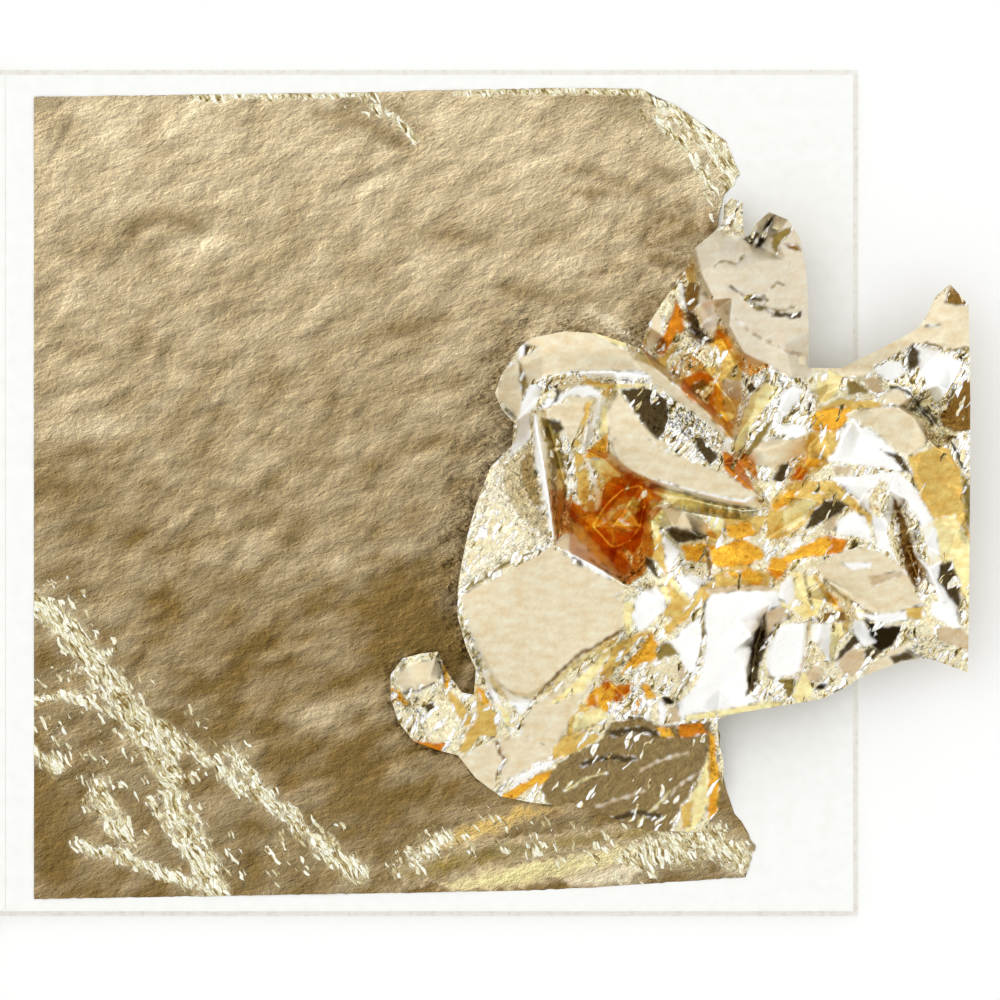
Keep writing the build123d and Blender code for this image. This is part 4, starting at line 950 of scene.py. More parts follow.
    "petalBrown": ("bronze", [780, 246, 794, 246, 799, 254, 786, 252]),
    "petalLineA": ("dark", [740, 299, 750, 296, 762, 298, 763, 303, 752, 304, 744, 303]),
    "petalLineB": ("dark", [768, 318, 774, 313, 792, 316, 799, 312, 799, 320, 784, 320]),
    "petalLineC": ("olive", [746, 307, 758, 309, 761, 314, 752, 312]),
    "petalCurl": ("dark", [728, 288, 737, 294, 748, 305, 757, 308, 768, 315], 0.9),
    "petalWave": ("olive", [752, 296, 764, 302, 762, 309, 776, 313, 792, 309], 0.9),
    "petalNick": ("olive", [768, 290, 774, 284, 781, 287], 0.8),
    "petalTick": ("olive", [714, 268, 724, 262, 733, 266, 742, 258], 0.8),
    "petalCrease": ("tan", [700, 294, 722, 312, 748, 334, 780, 352, 806, 358], 0.9),
    "tag": ("silver", [722, 234, 723, 209, 730, 200, 743, 203, 740, 228, 732, 236]),
    "tagDark": ("dark", [725, 214, 732, 206, 739, 208, 736, 217, 727, 220]),
    "tagBrown": ("bronze", [723, 222, 733, 220, 730, 232, 724, 232]),
    # silver crinkled leaf right of the valley, and its ledge
    "silverLeaf": ("glitter", [742, 370, 765, 367, 785, 378, 803, 383, 813, 400, 807, 425, 807, 441,
        780, 441, 760, 441, 745, 453, 732, 463, 727, 452, 733, 430, 740, 400]),
    "leafCream": ("cream", [748, 398, 762, 384, 778, 388, 766, 404, 750, 424, 738, 450, 730, 460, 730, 444,
        738, 420]),
    "leafDark": ("dark", [742, 376, 750, 382, 756, 391, 745, 395]),
    "leafWhite": ("white", [776, 396, 790, 386, 800, 392, 794, 402, 786, 414, 776, 420]),
    "leafFoot": ("white", [774, 424, 800, 426, 806, 438, 784, 438, 768, 432]),
    "leafOlive": ("olive", [744, 448, 760, 426, 772, 420, 762, 436, 750, 452, 740, 462]),
    "leafNight": ("dark", [804, 402, 811, 404, 808, 418, 802, 414]),
    "ledge": ("pale", [760, 440, 802, 440, 804, 455, 790, 458, 770, 470, 756, 470, 744, 458]),
    "ledgeLow": ("silver", [740, 464, 766, 468, 770, 482, 764, 502, 754, 494]),
    "ledgeDark": ("dark", [768, 480, 776, 468, 796, 455, 789, 470, 779, 484]),
    # arm to the right
    "arm": ("pale", [812, 372, 840, 365, 870, 350, 900, 333, 921, 325, 930, 299, 942, 296, 950, 282,
        964, 302, 972, 308, 972, 348, 945, 349, 920, 345, 905, 349, 880, 366, 860, 379, 842, 378,
        828, 374]),
    "armTip": ("bronze", [942, 304, 948, 287, 956, 289, 965, 306, 952, 306]),
    "armLine": ("olive", [924, 344, 944, 351, 966, 350], 1.6),
    "armBar": ("shadow", [925, 326, 937, 326], 0.8),
    "armShine": ("glitter", [869, 368, 896, 354, 916, 345, 935, 350, 968, 356, 968, 374, 958, 385, 945, 402,
        936, 414, 930, 404, 919, 396, 905, 402, 897, 386, 878, 381]),
    "armWhite": ("white", [914, 346, 936, 352, 960, 362, 950, 384, 934, 404, 926, 394, 916, 372]),
    "armWhiteLeft": ("white", [872, 370, 886, 362, 900, 362, 900, 374, 888, 382, 880, 380]),
    "armDark": ("dark", [903, 358, 911, 344, 916, 352, 916, 366, 906, 372]),
    "armBrown": ("bronze", [937, 416, 946, 402, 957, 386, 968, 376, 968, 432, 950, 433, 940, 427]),
    "armPale": ("pale", [880, 392, 896, 391, 908, 404, 900, 407, 882, 405]),
    "armCrack": ("shadow", [888, 388, 902, 392, 914, 403, 923, 414, 930, 425], 1.8),
    "armLower": ("shadow", [880, 407, 898, 408, 914, 410], 1.0),
    "armGold": ("cream", [811, 402, 814, 380, 828, 371, 841, 376, 838, 390, 822, 405]),
    "armOlive": ("olive", [842, 378, 860, 386, 866, 394, 846, 395]),
    "armTan": ("tan", [860, 380, 876, 378, 879, 394, 870, 396]),
    # amber strip and white facets at the right
    "amberCrest": ("gold", [812, 410, 836, 400, 872, 402, 884, 408, 850, 410, 820, 416]),
    "amberUpper": ("amber", [808, 413, 822, 409, 850, 407, 843, 420, 838, 432, 810, 433, 806, 425]),
    "amberLower": ("gold", [806, 433, 838, 431, 836, 452, 822, 467, 802, 478, 788, 484, 788, 470,
        802, 455]),
    "amberSpot": ("amber", [800, 458, 820, 458, 815, 467, 803, 470]),
    "emberSpot": ("ember", [787, 479, 795, 467, 807, 470, 799, 481]),
    "greyFacet": ("pale", [842, 416, 860, 410, 900, 408, 918, 420, 922, 446, 906, 456, 895, 453, 880, 438,
        862, 426]),
    "whiteUpper": ("white", [838, 432, 850, 422, 870, 432, 885, 446, 896, 458, 900, 472, 880, 470, 850, 465,
        822, 462, 832, 450]),
    "whiteSeam": ("silver", [820, 468, 845, 464, 882, 469, 870, 476, 840, 475]),
    "seamTan": ("tan", [830, 466, 848, 467, 846, 474, 832, 474]),
    "whiteRight": ("white", [828, 478, 870, 474, 896, 472, 899, 500, 884, 524, 886, 545, 894, 562, 872, 545,
        868, 515, 850, 495]),
    "whiteStreak": ("silver", [864, 492, 880, 480, 888, 495, 880, 520, 868, 514]),
    "facetCrack": ("dark", [876, 450, 886, 454, 898, 456, 908, 474, 900, 472, 890, 460]),
    "goldFacet": ("gold", [904, 457, 935, 444, 946, 449, 956, 470, 962, 500, 968, 540, 968, 610, 950, 580,
        938, 560, 930, 525, 918, 500, 909, 478]),
    "goldPale": ("cream", [924, 520, 950, 514, 968, 545, 968, 606, 952, 582, 936, 556]),
    "goldTop": ("silver", [922, 430, 950, 434, 968, 432, 968, 446, 945, 448, 926, 446]),
    "rightLine": ("shadow", [946, 441, 954, 455, 962, 476], 2.0),
    "rightOlive": ("olive", [957, 474, 968, 482, 968, 536, 962, 520]),
    "ribWhite": ("white", [894, 476, 908, 482, 930, 520, 938, 558, 950, 596, 958, 626, 940, 608, 928, 584,
        915, 560, 905, 520, 895, 498]),
    "ribSilver": ("glitter", [899, 498, 914, 518, 922, 545, 928, 564, 918, 560, 909, 530]),
    "ribBronze": ("bronze", [889, 496, 896, 504, 905, 530, 912, 553, 921, 580, 912, 591, 903, 576, 897, 545,
        893, 520]),
    "ribDark": ("dark", [936, 564, 948, 559, 956, 580, 958, 610, 945, 596, 934, 578]),
    "ribFoot": ("white", [928, 600, 944, 602, 959, 628, 944, 624, 928, 614]),
    # golden middle
    "sweep": ("gold", [762, 522, 768, 500, 785, 484, 806, 479, 824, 484, 832, 498, 815, 506, 800, 526,
        782, 536, 764, 542]),
    "sweepCream": ("cream", [780, 512, 800, 498, 813, 502, 799, 522, 780, 533]),
    "sweepAmber": ("amber", [768, 506, 784, 490, 796, 490, 786, 504, 772, 512]),
    "goldArc": ("gold", [806, 480, 830, 481, 852, 500, 869, 516, 869, 526, 855, 513, 835, 499, 815, 492]),
    "middleDark": ("dark", [811, 510, 822, 500, 836, 500, 847, 506, 833, 516, 822, 521, 812, 526, 800, 531,
        808, 518]),
    "middleTan": ("tan", [820, 521, 834, 515, 832, 530, 822, 530]),
    "middleWhite": ("white", [834, 522, 848, 511, 861, 516, 869, 541, 850, 536, 834, 533]),
    "whiteSpot": ("white", [783, 539, 795, 534, 801, 544, 790, 551]),
    "glassSpot": ("silver", [760, 545, 768, 539, 781, 542, 783, 553, 772, 553]),
    "bar": ("amber", [797, 546, 815, 538, 828, 534, 844, 540, 839, 552, 815, 556, 800, 557, 790, 562,
        782, 571, 775, 579, 763, 571, 768, 558, 785, 554]),
    "barEmber": ("ember", [827, 534, 844, 540, 839, 552, 820, 555, 829, 546]),
    "field": ("amber", [680, 546, 700, 542, 720, 545, 740, 538, 756, 545, 764, 556, 745, 566, 725, 569,
        705, 562, 684, 561]),
    "fieldGold": ("gold", [712, 572, 740, 564, 768, 572, 766, 588, 735, 590, 712, 590]),
    "fieldAmber": ("amber", [720, 574, 750, 567, 764, 580, 752, 586, 740, 578]),
    "ledgeGold": ("gold", [700, 532, 720, 528, 724, 540, 706, 543]),
    "smallAmber": ("amber", [722, 525, 746, 521, 754, 534, 735, 541, 725, 535]),
    "yellowSpot": ("cream", [703, 512, 720, 515, 722, 530, 708, 531]),
    "cup": ("pale", [661, 505, 690, 513, 702, 521, 706, 536, 690, 531, 664, 528]),
    "cupDark": ("dark", [663, 529, 672, 526, 690, 531, 707, 537, 690, 541, 676, 544]),
    "spear": ("gold", [648, 503, 656, 500, 660, 530, 664, 560, 666, 577, 656, 562, 642, 550, 642, 530]),
    "spearBright": ("cream", [650, 508, 656, 505, 659, 530, 654, 540, 648, 530]),
    "spearDark": ("dark", [642, 555, 652, 560, 659, 579, 650, 571, 641, 563]),
    "shard": ("white", [662, 533, 672, 545, 679, 549, 672, 563, 667, 574, 664, 560]),
    # braid and strands that run down the left
    "braidCream": ("cream", [656, 580, 668, 574, 690, 600, 684, 612, 664, 600]),
    "braidGold": ("gold", [664, 576, 674, 590, 692, 606, 680, 620, 660, 614, 668, 600]),
    "braidWhite": ("white", [672, 574, 690, 574, 702, 580, 690, 596, 680, 590]),
    "braidRight": ("gold", [687, 601, 700, 585, 711, 580, 709, 594, 690, 614, 670, 630, 648, 641,
        664, 625]),
    "braidLine": ("bronze", [705, 545, 709, 560, 711, 580, 707, 580, 704, 560]),
    "rhombus": ("white", [633, 600, 640, 590, 655, 587, 661, 595, 665, 606, 655, 616, 645, 626, 635, 629,
        631, 615]),
    "rhombusRim": ("cream", [623, 586, 632, 590, 631, 632, 626, 636, 621, 620]),
    "rhombusTop": ("silver", [612, 596, 630, 584, 656, 576, 662, 584, 640, 588, 628, 600]),
    "strandAmber": ("amber", [650, 630, 656, 640, 657, 657, 640, 663, 618, 676, 630, 655]),
    "strandGold": ("gold", [612, 646, 622, 638, 640, 630, 650, 630, 632, 645, 616, 668, 606, 681,
        598, 674]),
    "strandPale": ("silver", [626, 656, 636, 645, 640, 646, 630, 656, 620, 664]),
    "lowWhite": ("white", [664, 645, 680, 630, 698, 614, 701, 640, 696, 666, 688, 672, 680, 666, 677, 650]),
    "lowCrinkle": ("olive", [660, 642, 668, 640, 676, 652, 664, 656, 656, 660, 654, 650]),
    "lowTan": ("tan", [676, 664, 682, 664, 684, 676, 678, 678]),
    "foldRim": ("olive", [703, 602, 701, 640, 696, 668, 680, 688, 672, 696], 1.5),
    "pool": ("amber", [584, 700, 594, 686, 608, 680, 620, 686, 615, 701, 604, 714, 588, 712]),
    "poolEmber": ("ember", [586, 696, 596, 694, 596, 708, 588, 706]),
    "hole": ("ember", [618, 684, 629, 683, 629, 692, 621, 701, 616, 692]),
    "poolGold": ("gold", [566, 724, 580, 702, 596, 708, 606, 716, 582, 731, 568, 740]),
    "poolCream": ("cream", [574, 714, 600, 706, 608, 716, 584, 728, 572, 732]),
    "strandGlitter": ("glitter", [608, 702, 634, 690, 652, 704, 650, 716, 616, 720]),
    "strandSpot": ("amber", [640, 684, 650, 684, 656, 698, 646, 698]),
    "strandDark": ("dark", [620, 712, 650, 719, 656, 725, 630, 720]),
    "tailGold": ("gold", [549, 752, 562, 736, 590, 728, 602, 738, 575, 753, 555, 762]),
    "tailRim": ("cream", [576, 752, 596, 740, 612, 726, 606, 738, 585, 752]),
    # plateau at the right, painted white as a highlight, with its bow
    "snow": ("white", [703, 600, 712, 592, 740, 589, 775, 591, 788, 602, 768, 610, 758, 625, 750, 645,
        748, 665, 745, 690, 756, 698, 740, 706, 700, 713, 680, 718, 676, 702, 690, 690, 700, 672,
        704, 640]),
    "snowShade": ("tan", [704, 588, 740, 584, 770, 586, 768, 590, 740, 590, 708, 593]),
    "snowFoot": ("cream", [684, 714, 740, 704, 780, 699, 780, 705, 740, 712, 684, 721]),
    "bow": ("dark", [762, 612, 775, 604, 789, 604, 786, 618, 775, 622, 765, 641, 758, 662, 753, 686,
        744, 694, 748, 668, 750, 640]),
    "bowTan": ("tan", [764, 612, 776, 605, 788, 606, 784, 617, 772, 624, 764, 640]),
    "snowRight": ("white", [784, 622, 803, 621, 807, 640, 801, 666, 790, 673, 768, 676, 763, 660, 768, 640,
        775, 628]),
    "footOlive": ("olive", [765, 675, 785, 678, 793, 674, 791, 690, 786, 697, 780, 684]),
    "footCream": ("cream", [790, 694, 798, 672, 806, 668, 812, 690, 806, 699, 796, 702]),
    "footTan": ("tan", [804, 670, 812, 664, 822, 670, 816, 680, 808, 682]),
    "footDark": ("shadow", [811, 689, 818, 682, 828, 682, 822, 688]),
    "pleatCream": ("cream", [775, 592, 790, 569, 800, 574, 812, 574, 821, 595, 819, 613, 800, 619, 788, 608,
        778, 606]),
    "pleatWhite": ("white", [778, 582, 790, 574, 792, 596, 784, 604, 776, 598]),
    "pleatLine": ("olive", [802, 576, 806, 592, 810, 608], 1.0),
    "pleatGold": ("gold", [806, 566, 815, 576, 828, 590, 838, 605, 846, 622, 844, 634, 838, 616, 825, 602,
        817, 590]),
    "pleatAmber": ("amber", [821, 588, 829, 592, 837, 606, 830, 606]),
    "pleatBrown": ("bronze", [820, 611, 840, 611, 843, 621, 817, 621]),
    "pleatBright": ("white", [808, 622, 830, 622, 832, 640, 828, 662, 815, 642, 808, 640]),
    "pleatSide": ("cream", [828, 622, 840, 622, 842, 636, 833, 646, 829, 662, 826, 650]),
    "pleatRim": ("tan", [806, 620, 803, 650, 795, 680], 1.2),
    # shelf at the right and the hem under it
    "shelf": ("pale", [812, 568, 830, 556, 850, 547, 872, 549, 890, 559, 905, 575, 912, 590, 920, 602,
        905, 609, 885, 615, 865, 611, 845, 599, 828, 589, 818, 576]),
    "shelfShade": ("tan", [866, 576, 898, 569, 902, 574, 880, 580, 870, 587]),
    "shelfWhite": ("white", [838, 562, 868, 562, 866, 568, 846, 568]),
    "shelfLine": ("olive", [822, 578, 838, 594, 852, 603, 868, 612, 884, 616], 1.2),
    "hemWhite": ("white", [848, 612, 870, 614, 898, 611, 920, 602, 916, 617, 890, 622, 868, 620]),
    "hemOlive": ("gold", [902, 606, 920, 606, 918, 618, 904, 618]),
    "pleatNight": ("shadow", [862, 619, 880, 625, 903, 625, 890, 645, 878, 652, 868, 643, 867, 628]),
    "pleatSnow": ("white", [849, 615, 862, 622, 873, 641, 862, 646, 851, 636]),
    "pleatGrey": ("dark", [866, 646, 880, 650, 870, 660, 858, 662, 860, 652]),
    "hemTan": ("tan", [832, 658, 842, 646, 862, 650, 862, 662, 854, 677, 838, 669]),
    "hemDark": ("dark", [836, 650, 850, 634, 857, 640, 846, 650, 832, 661]),
    "hemPale": ("pale", [854, 679, 880, 656, 895, 645, 904, 640, 930, 660, 895, 664, 872, 672]),
    "hemSpot": ("dark", [888, 656, 905, 651, 914, 657, 892, 663]),
    "hemCream": ("silver", [898, 634, 918, 624, 930, 634, 950, 640, 965, 652, 950, 668, 925, 662,
        908, 650]),
    "hemCorner": ("tan", [932, 626, 960, 628, 970, 640, 970, 654, 950, 644, 934, 638]),
    "hemLine": ("dark", [905, 650, 930, 661, 952, 670], 1.3),
    # knot at the left
    "knot": ("silver", [392, 682, 402, 664, 420, 655, 438, 650, 444, 665, 446, 690, 456, 712, 462, 730,
        455, 752, 440, 738, 428, 734, 413, 712, 400, 692]),
    "knotPale": ("pale", [396, 680, 404, 666, 438, 656, 440, 680, 420, 684, 404, 690]),
    "knotLine": ("dark", [404, 692, 420, 689, 434, 682], 1.2),
    "knotSpot": ("dark", [424, 706, 434, 700, 436, 708, 428, 712]),
    "knotAmber": ("amber", [385, 688, 398, 690, 412, 704, 404, 706]),
    "knotGreen": ("silver", [398, 708, 412, 712, 426, 734, 414, 740, 400, 732]),
    "knotBouncedLight": ("ember", [400, 734, 418, 741, 446, 742, 441, 752, 424, 752, 408, 744]),
    "knotSide": ("gold", [446, 688, 460, 698, 474, 722, 466, 727, 455, 712]),
    "knotOchre": ("amber", [442, 658, 448, 660, 450, 686, 445, 690]),
    "wing": ("gold", [474, 684, 488, 698, 500, 720, 496, 736, 480, 736, 466, 754, 458, 752, 468, 732,
        478, 716]),
    "wingAmber": ("amber", [476, 684, 484, 690, 492, 706, 482, 704]),
    "wingWhite": ("white", [479, 666, 486, 670, 500, 700, 512, 720, 518, 730, 508, 728, 494, 700]),
    "wingCream": ("cream", [496, 700, 504, 706, 516, 726, 506, 726]),
    "tailPale": ("pale", [452, 798, 460, 758, 480, 746, 520, 734, 552, 746, 552, 754, 520, 772, 500, 783,
        485, 796, 468, 806]),
    "tailShade": ("bronze", [497, 742, 504, 760, 497, 778], 1.8),
    "tailWhite": ("white", [500, 787, 520, 773, 545, 761, 562, 756, 545, 768, 520, 781]),
    "tailLine": ("shadow", [484, 802, 500, 788, 512, 781], 1.0),
    "tailAmber": ("amber", [480, 810, 510, 789, 535, 775, 557, 767, 556, 779, 530, 788, 510, 802,
        490, 812]),
    # ragged foot
    "rag": ("rag", [540, 790, 558, 762, 602, 738, 611, 721, 640, 717, 660, 724, 690, 720, 710, 720,
        710, 745, 703, 766, 692, 786, 684, 802, 676, 818, 668, 836, 640, 832, 600, 832, 560, 820]),
    "ragTan": ("tan", [640, 770, 662, 758, 688, 752], 1.4),
    "ragPale": ("tan", [596, 806, 620, 798, 644, 790], 1.4),
    "ragLight": ("cream", [566, 790, 586, 778, 606, 772], 1.0),
    "ragShine": ("cream", [640, 820, 656, 806, 670, 790], 1.2),
    "ragCrease": ("tan", [664, 800, 682, 782, 700, 770], 1.0),
    "ragNight": ("dark", [612, 732, 640, 728, 664, 734], 3.0),
    "ragDusk": ("dark", [582, 764, 606, 756, 634, 758], 2.4),
    "ragDeep": ("dark", [604, 822, 636, 812, 660, 816], 2.6),
    "ragSide": ("cream", [710, 745, 709, 800, 700, 822, 690, 834, 678, 832, 684, 806, 696, 786]),
    "ragGold": ("gold", [680, 806, 692, 800, 691, 826, 681, 830]),
    "ragRim": ("amber", [708, 730, 715, 735, 716, 760, 722, 780, 723, 800, 717, 815, 708, 818, 708, 780]),
    "rimDark": ("olive", [718, 772, 726, 790, 722, 806, 716, 812, 718, 790]),
    "ragBouncedLight": ("ember", [676, 724, 700, 721, 707, 732, 690, 736, 678, 735]),
    "ragAmber": ("amber", [655, 725, 670, 727, 675, 736, 660, 736]),
    "ragWhite": ("white", [657, 700, 664, 700, 665, 722, 658, 722]),
    "ragBeige": ("tan", [666, 705, 676, 705, 681, 720, 668, 722]),
    "ragHole": ("shadow", [659, 694, 668, 696, 677, 703, 664, 703]),
}


# The CAD solid's upper side as a smooth surface, its folds kept as sharp as they bend. Gives
# the surface, its outline and the places of the net inside it
def smoothNet():
    s = crumpleSet
    net = bmesh.new()
    net.from_mesh(frame["nodes"]["crumpled_leaf"].data)
    bmesh.ops.remove_doubles(net, verts=net.verts, dist=s["mergeMm"] * mm)
    net.normal_update()
    bmesh.ops.delete(net, geom=[f for f in net.faces if f.normal.z <= s["upward"]], context="FACES")
    loose = [v for v in net.verts if not v.link_faces]
    bmesh.ops.delete(net, geom=loose, context="VERTS")
    creases = net.edges.layers.float.new("crease_edge")
    for edge in net.edges:
        bend = math.degrees(edge.calc_face_angle(0))
        sharp = min(max((bend - s["creaseFrom"]) / s["creaseSpan"], 0), 1)
        edge[creases] = 1.0 if edge.is_boundary else sharp
    inner = np.array([v.co[:] for v in net.verts if not v.is_boundary])
    edge = next(edge for edge in net.edges if edge.is_boundary)
    start = here = edge.verts[0]
    outline = []
    while not outline or here != start:
        outline.append(here.co[:])
        here = edge.other_vert(here)
        edge = next(e for e in here.link_edges if e.is_boundary and e != edge)
    coarse = bpy.data.meshes.new("crumpleNet")
    net.to_mesh(coarse)
    net.free()
    item = bpy.data.objects.new("crumpleNet", coarse)
    bpy.context.scene.collection.objects.link(item)
    smooth = item.modifiers.new("smooth", "SUBSURF")
    smooth.levels = smooth.render_levels = s["levels"]
    bpy.context.view_layer.update()
    surface = BVHTree.FromObject(item, bpy.context.evaluated_depsgraph_get())
    bpy.data.objects.remove(item)
    return surface, np.array(outline), inner


# Heights of a surface over places, in metres, from rays cast straight down. A place that no ray
# meets, just outside the surface, takes the height of the nearest place that has one
def heightsOver(surface, x, y):
    down = Vector((0, 0, -1))
    hits = [surface.ray_cast(Vector((a, b, 1)), down)[0] for a, b in zip(x.tolist(), y.tolist())]
    met = KDTree(len(hits))
    for k, hit in enumerate(hits):
        if hit is not None:
            met.insert((x[k], y[k], 0), k)
    met.balance()
    return np.array([hits[k].z if hits[k] is not None else hits[met.find((x[k], y[k], 0))[1]].z
                     for k in range(len(hits))])


# The nearest place on a closed outline: on each stretch the foot of the perpendicular, held
# between the stretch's ends, and the nearest of them
def nearestOnOutline(x, y, corners):
    best = (math.inf, x, y)
    for (ax, ay), (bx, by) in zip(corners, corners[1:] + corners[:1]):
        dx, dy = bx - ax, by - ay
        t = min(max(((x - ax) * dx + (y - ay) * dy) / (dx * dx + dy * dy), 0), 1)
        cx, cy = ax + t * dx, ay + t * dy
        best = min(best, (math.hypot(x - ax - t * dx, y - ay - t * dy), cx, cy))
    return best[1:]


# The squares of a grid that lie inside an outline, their outer corners moved onto the outline.
# Gives the corner places, the squares, and the rim's corners in order, anticlockwise
def outlineGrid(outline, step):
    corners = [tuple(point) for point in outline]
    low, high = outline.min(axis=0), outline.max(axis=0)
    gx, gy = np.meshgrid(np.arange(low[0] - step, high[0] + 2 * step, step),
                         np.arange(low[1] - step, high[1] + 2 * step, step))
    kept = insideDepth(gx[:-1, :-1] + step / 2, gy[:-1, :-1] + step / 2, corners) > 0
    pinch = np.ones(1, bool)
    while pinch.any():                             # fills squares that touch at a corner only
        a, b, c, d = kept[:-1, :-1], kept[:-1, 1:], kept[1:, 1:], kept[1:, :-1]
        pinch = (a & c & ~b & ~d) | (b & d & ~a & ~c)
        kept[:-1, :-1] |= pinch
        kept[:-1, 1:] |= pinch
    index = np.arange(gx.size).reshape(gx.shape)
    squares = np.stack([index[:-1, :-1], index[:-1, 1:], index[1:, 1:], index[1:, :-1]], axis=-1)
    squares = squares[kept[:index.shape[0] - 1, :index.shape[1] - 1]]
    used = np.unique(squares)
    order = np.full(gx.size, -1)
    order[used] = np.arange(used.size)
    squares = order[squares]
    x, y = gx.ravel()[used], gy.ravel()[used]
    sides = np.concatenate([squares[:, [k, (k + 1) % 4]] for k in range(4)])
    keys = sides[:, 0] * used.size + sides[:, 1]
    alone = ~np.isin(keys, sides[:, 1] * used.size + sides[:, 0])
    following = dict(sides[alone].tolist())
    rim = [next(iter(following))]
    while following[rim[-1]] != rim[0]:
        rim.append(following[rim[-1]])
    pull = crumpleSet["rimPull"]                   # almost all the way to the outline
    for k in rim:
        nearX, nearY = nearestOnOutline(x[k], y[k], corners)
        x[k], y[k] = x[k] + pull * (nearX - x[k]), y[k] + pull * (nearY - y[k])
    return x, y, squares, np.array(rim)


# Paint of the leaf over pixels: its facets' painted light and shade, and the painted highlight
# and shade along their folds. The warmer a facet is, the more its colour wavers in streaks: by
# its red less its blue, times a sum of long noises
def crumpledPaint(px, py):
    s = crumpleSet
    paint = paintPatches(px, py, facets, s["base"], s["softPixels"], s["bevelPixels"],
                         s["wanderPixels"], s["paintedFoldLightGain"])
    warmth = (paint[:, 0] - paint[:, 2])[:, None]
    streaky = sum(share * softNoise(px / long, py / wide, seed)[:, None]
                  for long, wide, share, seed in s["streaky"])
    paint[:, :3] *= 1 + warmth * streaky * s["streakTint"]
    return paint


# The underside: triangles between the rim and the inner places of the CAD's own net, hung a foil's
# thickness under the rim and a little deeper inside, and never lower than clear of the torn leaf
def crumpledUnderside(surface, inner, rimPlaces):
    s = crumpleSet
    loop = [Vector(p) for p in rimPlaces[:, :2] / mm]
    middle = [Vector(p) for p in inner[:, :2] / mm]
    whole = [list(range(len(loop)))]
    insideOnly, nearest = 1, 1e-5
    places, _, triangles, _, _, _ = delaunay_2d_cdt(loop + middle, [], whole, insideOnly, nearest)
    under = np.array([(p.x * mm, p.y * mm) for p in places])
    belly = heightsOver(surface, under[:, 0], under[:, 1]) - s["bellyMm"] * mm
    belly = np.maximum(belly, tornLow.z + (s["clearMm"] - s["foilMm"]) * mm)
    belly[:len(loop)] = rimPlaces[:, 2] - s["foilMm"] * mm
    return np.column_stack([under, belly]), triangles


# The crumpled leaf: a grid over the CAD's surface, raised by each facet's lift and its crinkle
# times faceted noise, joined along its rim to a plain underside
def makeCrumpledLeaf():
    s = crumpleSet
    surface, outline, inner = smoothNet()
    x, y, squares, rim = outlineGrid(outline[:, :2], s["stepMm"] * mm)
    z = heightsOver(surface, x, y)
    paint = crumpledPaint(pixelX(x), pixelY(y))
    crinkleMm, seed, octaves = s["crinkle"]
    creased = crumple(x / mm / crinkleMm, y / mm / crinkleMm, seed, octaves)
    z = z + (paint[:, 4] * creased + paint[:, 7]) * mm
    z = np.maximum(z, tornLow.z + s["clearMm"] * mm)
    top = np.stack([x, y, z], axis=1)
    under, triangles = crumpledUnderside(surface, inner, top[rim])
    count = len(top)
    faces = squares.tolist() + [[count + k for k in reversed(t)] for t in triangles]
    for k in range(len(rim)):
        after = (k + 1) % len(rim)
        faces.append([int(rim[after]), int(rim[k]), count + k, count + after])
    owner = np.concatenate([np.arange(count), rim, np.full(len(under) - len(rim), rim[0])])
    values = {"tintWithPaintedLight": paint[owner, :3], "rough": paint[owner, 3], "sparkle": paint[owner, 5],
              "shards": paint[owner, 6]}
    leaf = meshObject("crumpledLeafFoil", np.concatenate([top, under]), faces, values)
    sharpenRim(leaf, rim)
    leaf.data.materials.append(foilMaterial("beatenLeafCrumpled", crumpledLook))
    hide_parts("crumpled_leaf")
    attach(leaf, "crumpled_leaf")
    print("crumpled leaf", len(faces), "faces,", len(rim), "at its rim,", len(triangles), "under it")


# Thin machine-glazed paper between the leaves. Cloud and fibre are lengths in mm
tissueSet = {"colour": "#FAFAF7", "cloud": "#F6F6F2", "cloudMm": 2.4, "fibreMm": 0.3,
             "roughness": 0.75, "gloss": 0.3}


# White and matt to the eye, with faint clouds of fibres: a mottled colour and a fine relief
def tissueMaterial():
    s = tissueSet
    material, tree, shader, inMm = startMaterial("glazedTissuePaper", {
        "Roughness": s["roughness"], "Specular IOR Level": s["gloss"]})
    mottle(tree, shader, inMm, scale=1 / s["cloudMm"], detail=4.0,
           stops=[(0.3, s["cloud"]), (0.7, s["colour"])])
    grain(tree, shader, inMm, scale=1 / s["fibreMm"], detail=3.0, deepMm=0.02, strength=0.3)
    return material


# Uncoated pressed card. Fleck and tooth are lengths in mm
cardSet = {"colour": "#F3F1EB", "fleck": "#E9E6DD", "fleckMm": 0.9, "toothMm": 0.25,
           "roughness": 0.82, "gloss": 0.25}


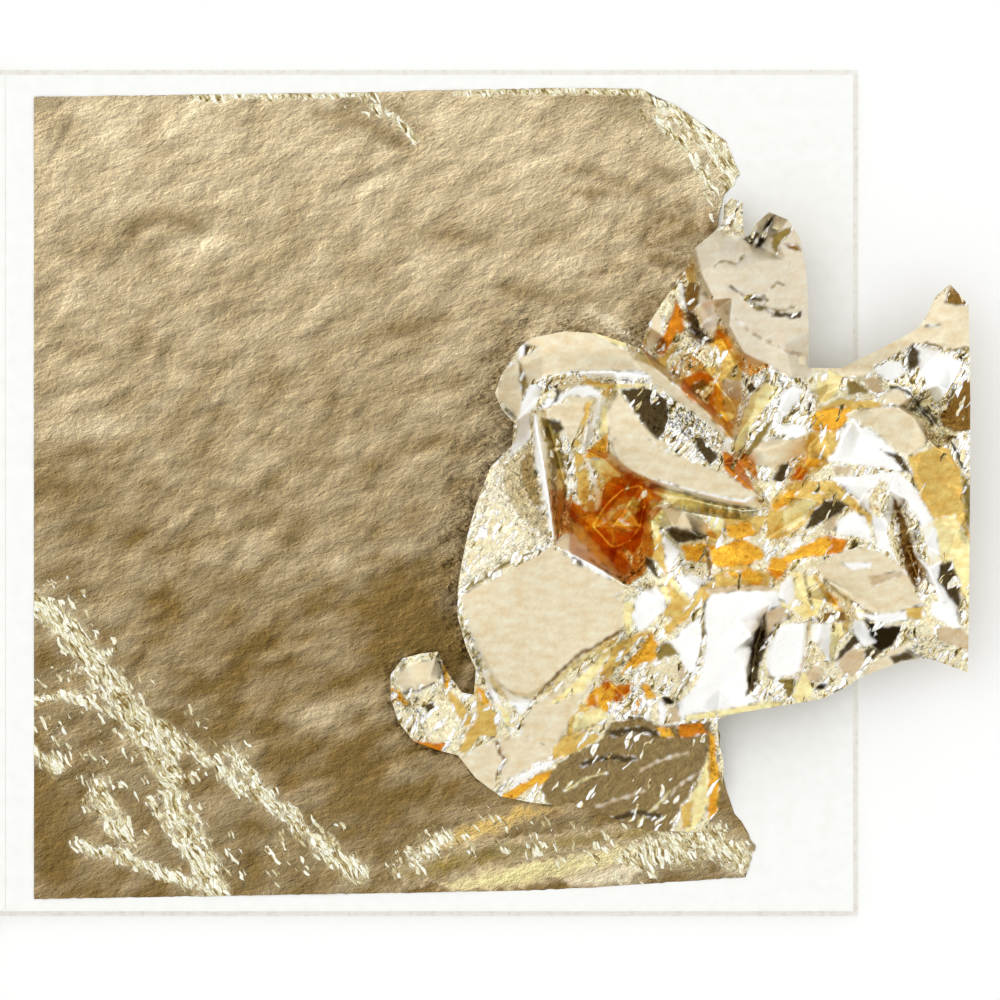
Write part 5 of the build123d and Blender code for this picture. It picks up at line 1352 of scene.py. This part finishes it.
# Soft white to the eye, with flecks of pulp and a toothed surface: the same two in other sizes
def coverMaterial():
    s = cardSet
    material, tree, shader, inMm = startMaterial("pressedCard", {
        "Roughness": s["roughness"], "Specular IOR Level": s["gloss"]})
    mottle(tree, shader, inMm, scale=1 / s["fleckMm"], detail=5.0,
           stops=[(0.32, s["fleck"]), (0.5, s["colour"])])
    grain(tree, shader, inMm, scale=1 / s["toothMm"], detail=2.0, deepMm=0.04, strength=0.4)
    return material


# Flat drawn steel wire, and the number of its draw lines in a mm across and along it
wireSet = {"colour": "#C9C8C6", "roughness": 0.3, "linesPerMm": (12, 0.4, 12)}


# Grey bright metal to the eye, with fine lines along the wire: a noise drawn out along it
def stapleMaterial():
    s = wireSet
    material, tree, shader, inMm = startMaterial("drawnSteelWire", {
        "Base Color": linearColour(s["colour"]), "Metallic": 1.0, "Roughness": s["roughness"]})
    drawn = addNode(tree, "ShaderNodeMapping", values={"Scale": s["linesPerMm"]},
                    links={"Vector": (inMm, "Vector")})
    grain(tree, shader, drawn, scale=1.0, detail=3.0, deepMm=0.01, strength=0.4)
    return material


# Leaf still between its tissues, and the number of its wrinkles in a mm along and across
storedSet = {"colour": "#C7AF84", "roughness": 0.36, "wrinklesPerMm": (0.25, 0.8, 1.0)}


# Flat soft gold to the eye, with long faint wrinkles: a noise drawn out along them
def storedLeafMaterial():
    s = storedSet
    material, tree, shader, inMm = startMaterial("beatenLeafPressed", {
        "Base Color": linearColour(s["colour"]), "Metallic": 1.0, "Roughness": s["roughness"]})
    drawn = addNode(tree, "ShaderNodeMapping", values={"Scale": s["wrinklesPerMm"]},
                    links={"Vector": (inMm, "Vector")})
    grain(tree, shader, drawn, scale=1.2, detail=5.0, deepMm=0.25, strength=0.6)
    return material


# Gives each CAD node the material of its slot
def dressNodes():
    finishOf = {"tissue_paper": tissueMaterial(), "cover_card": coverMaterial(),
                "staple_wire": stapleMaterial(), "metal_leaf": storedLeafMaterial()}
    for part in frame["record"]["subparts"]:
        node = frame["nodes"][part["node"]]
        node.data.materials.clear()
        node.data.materials.append(finishOf[part["material_slot"]])


bpy.context.scene.view_settings.view_transform = "Standard"
makeCamera()
makeStudio()
dressNodes()
makeTornLeaf()
makeCrumpledLeaf()

bpy.context.view_layer.update()
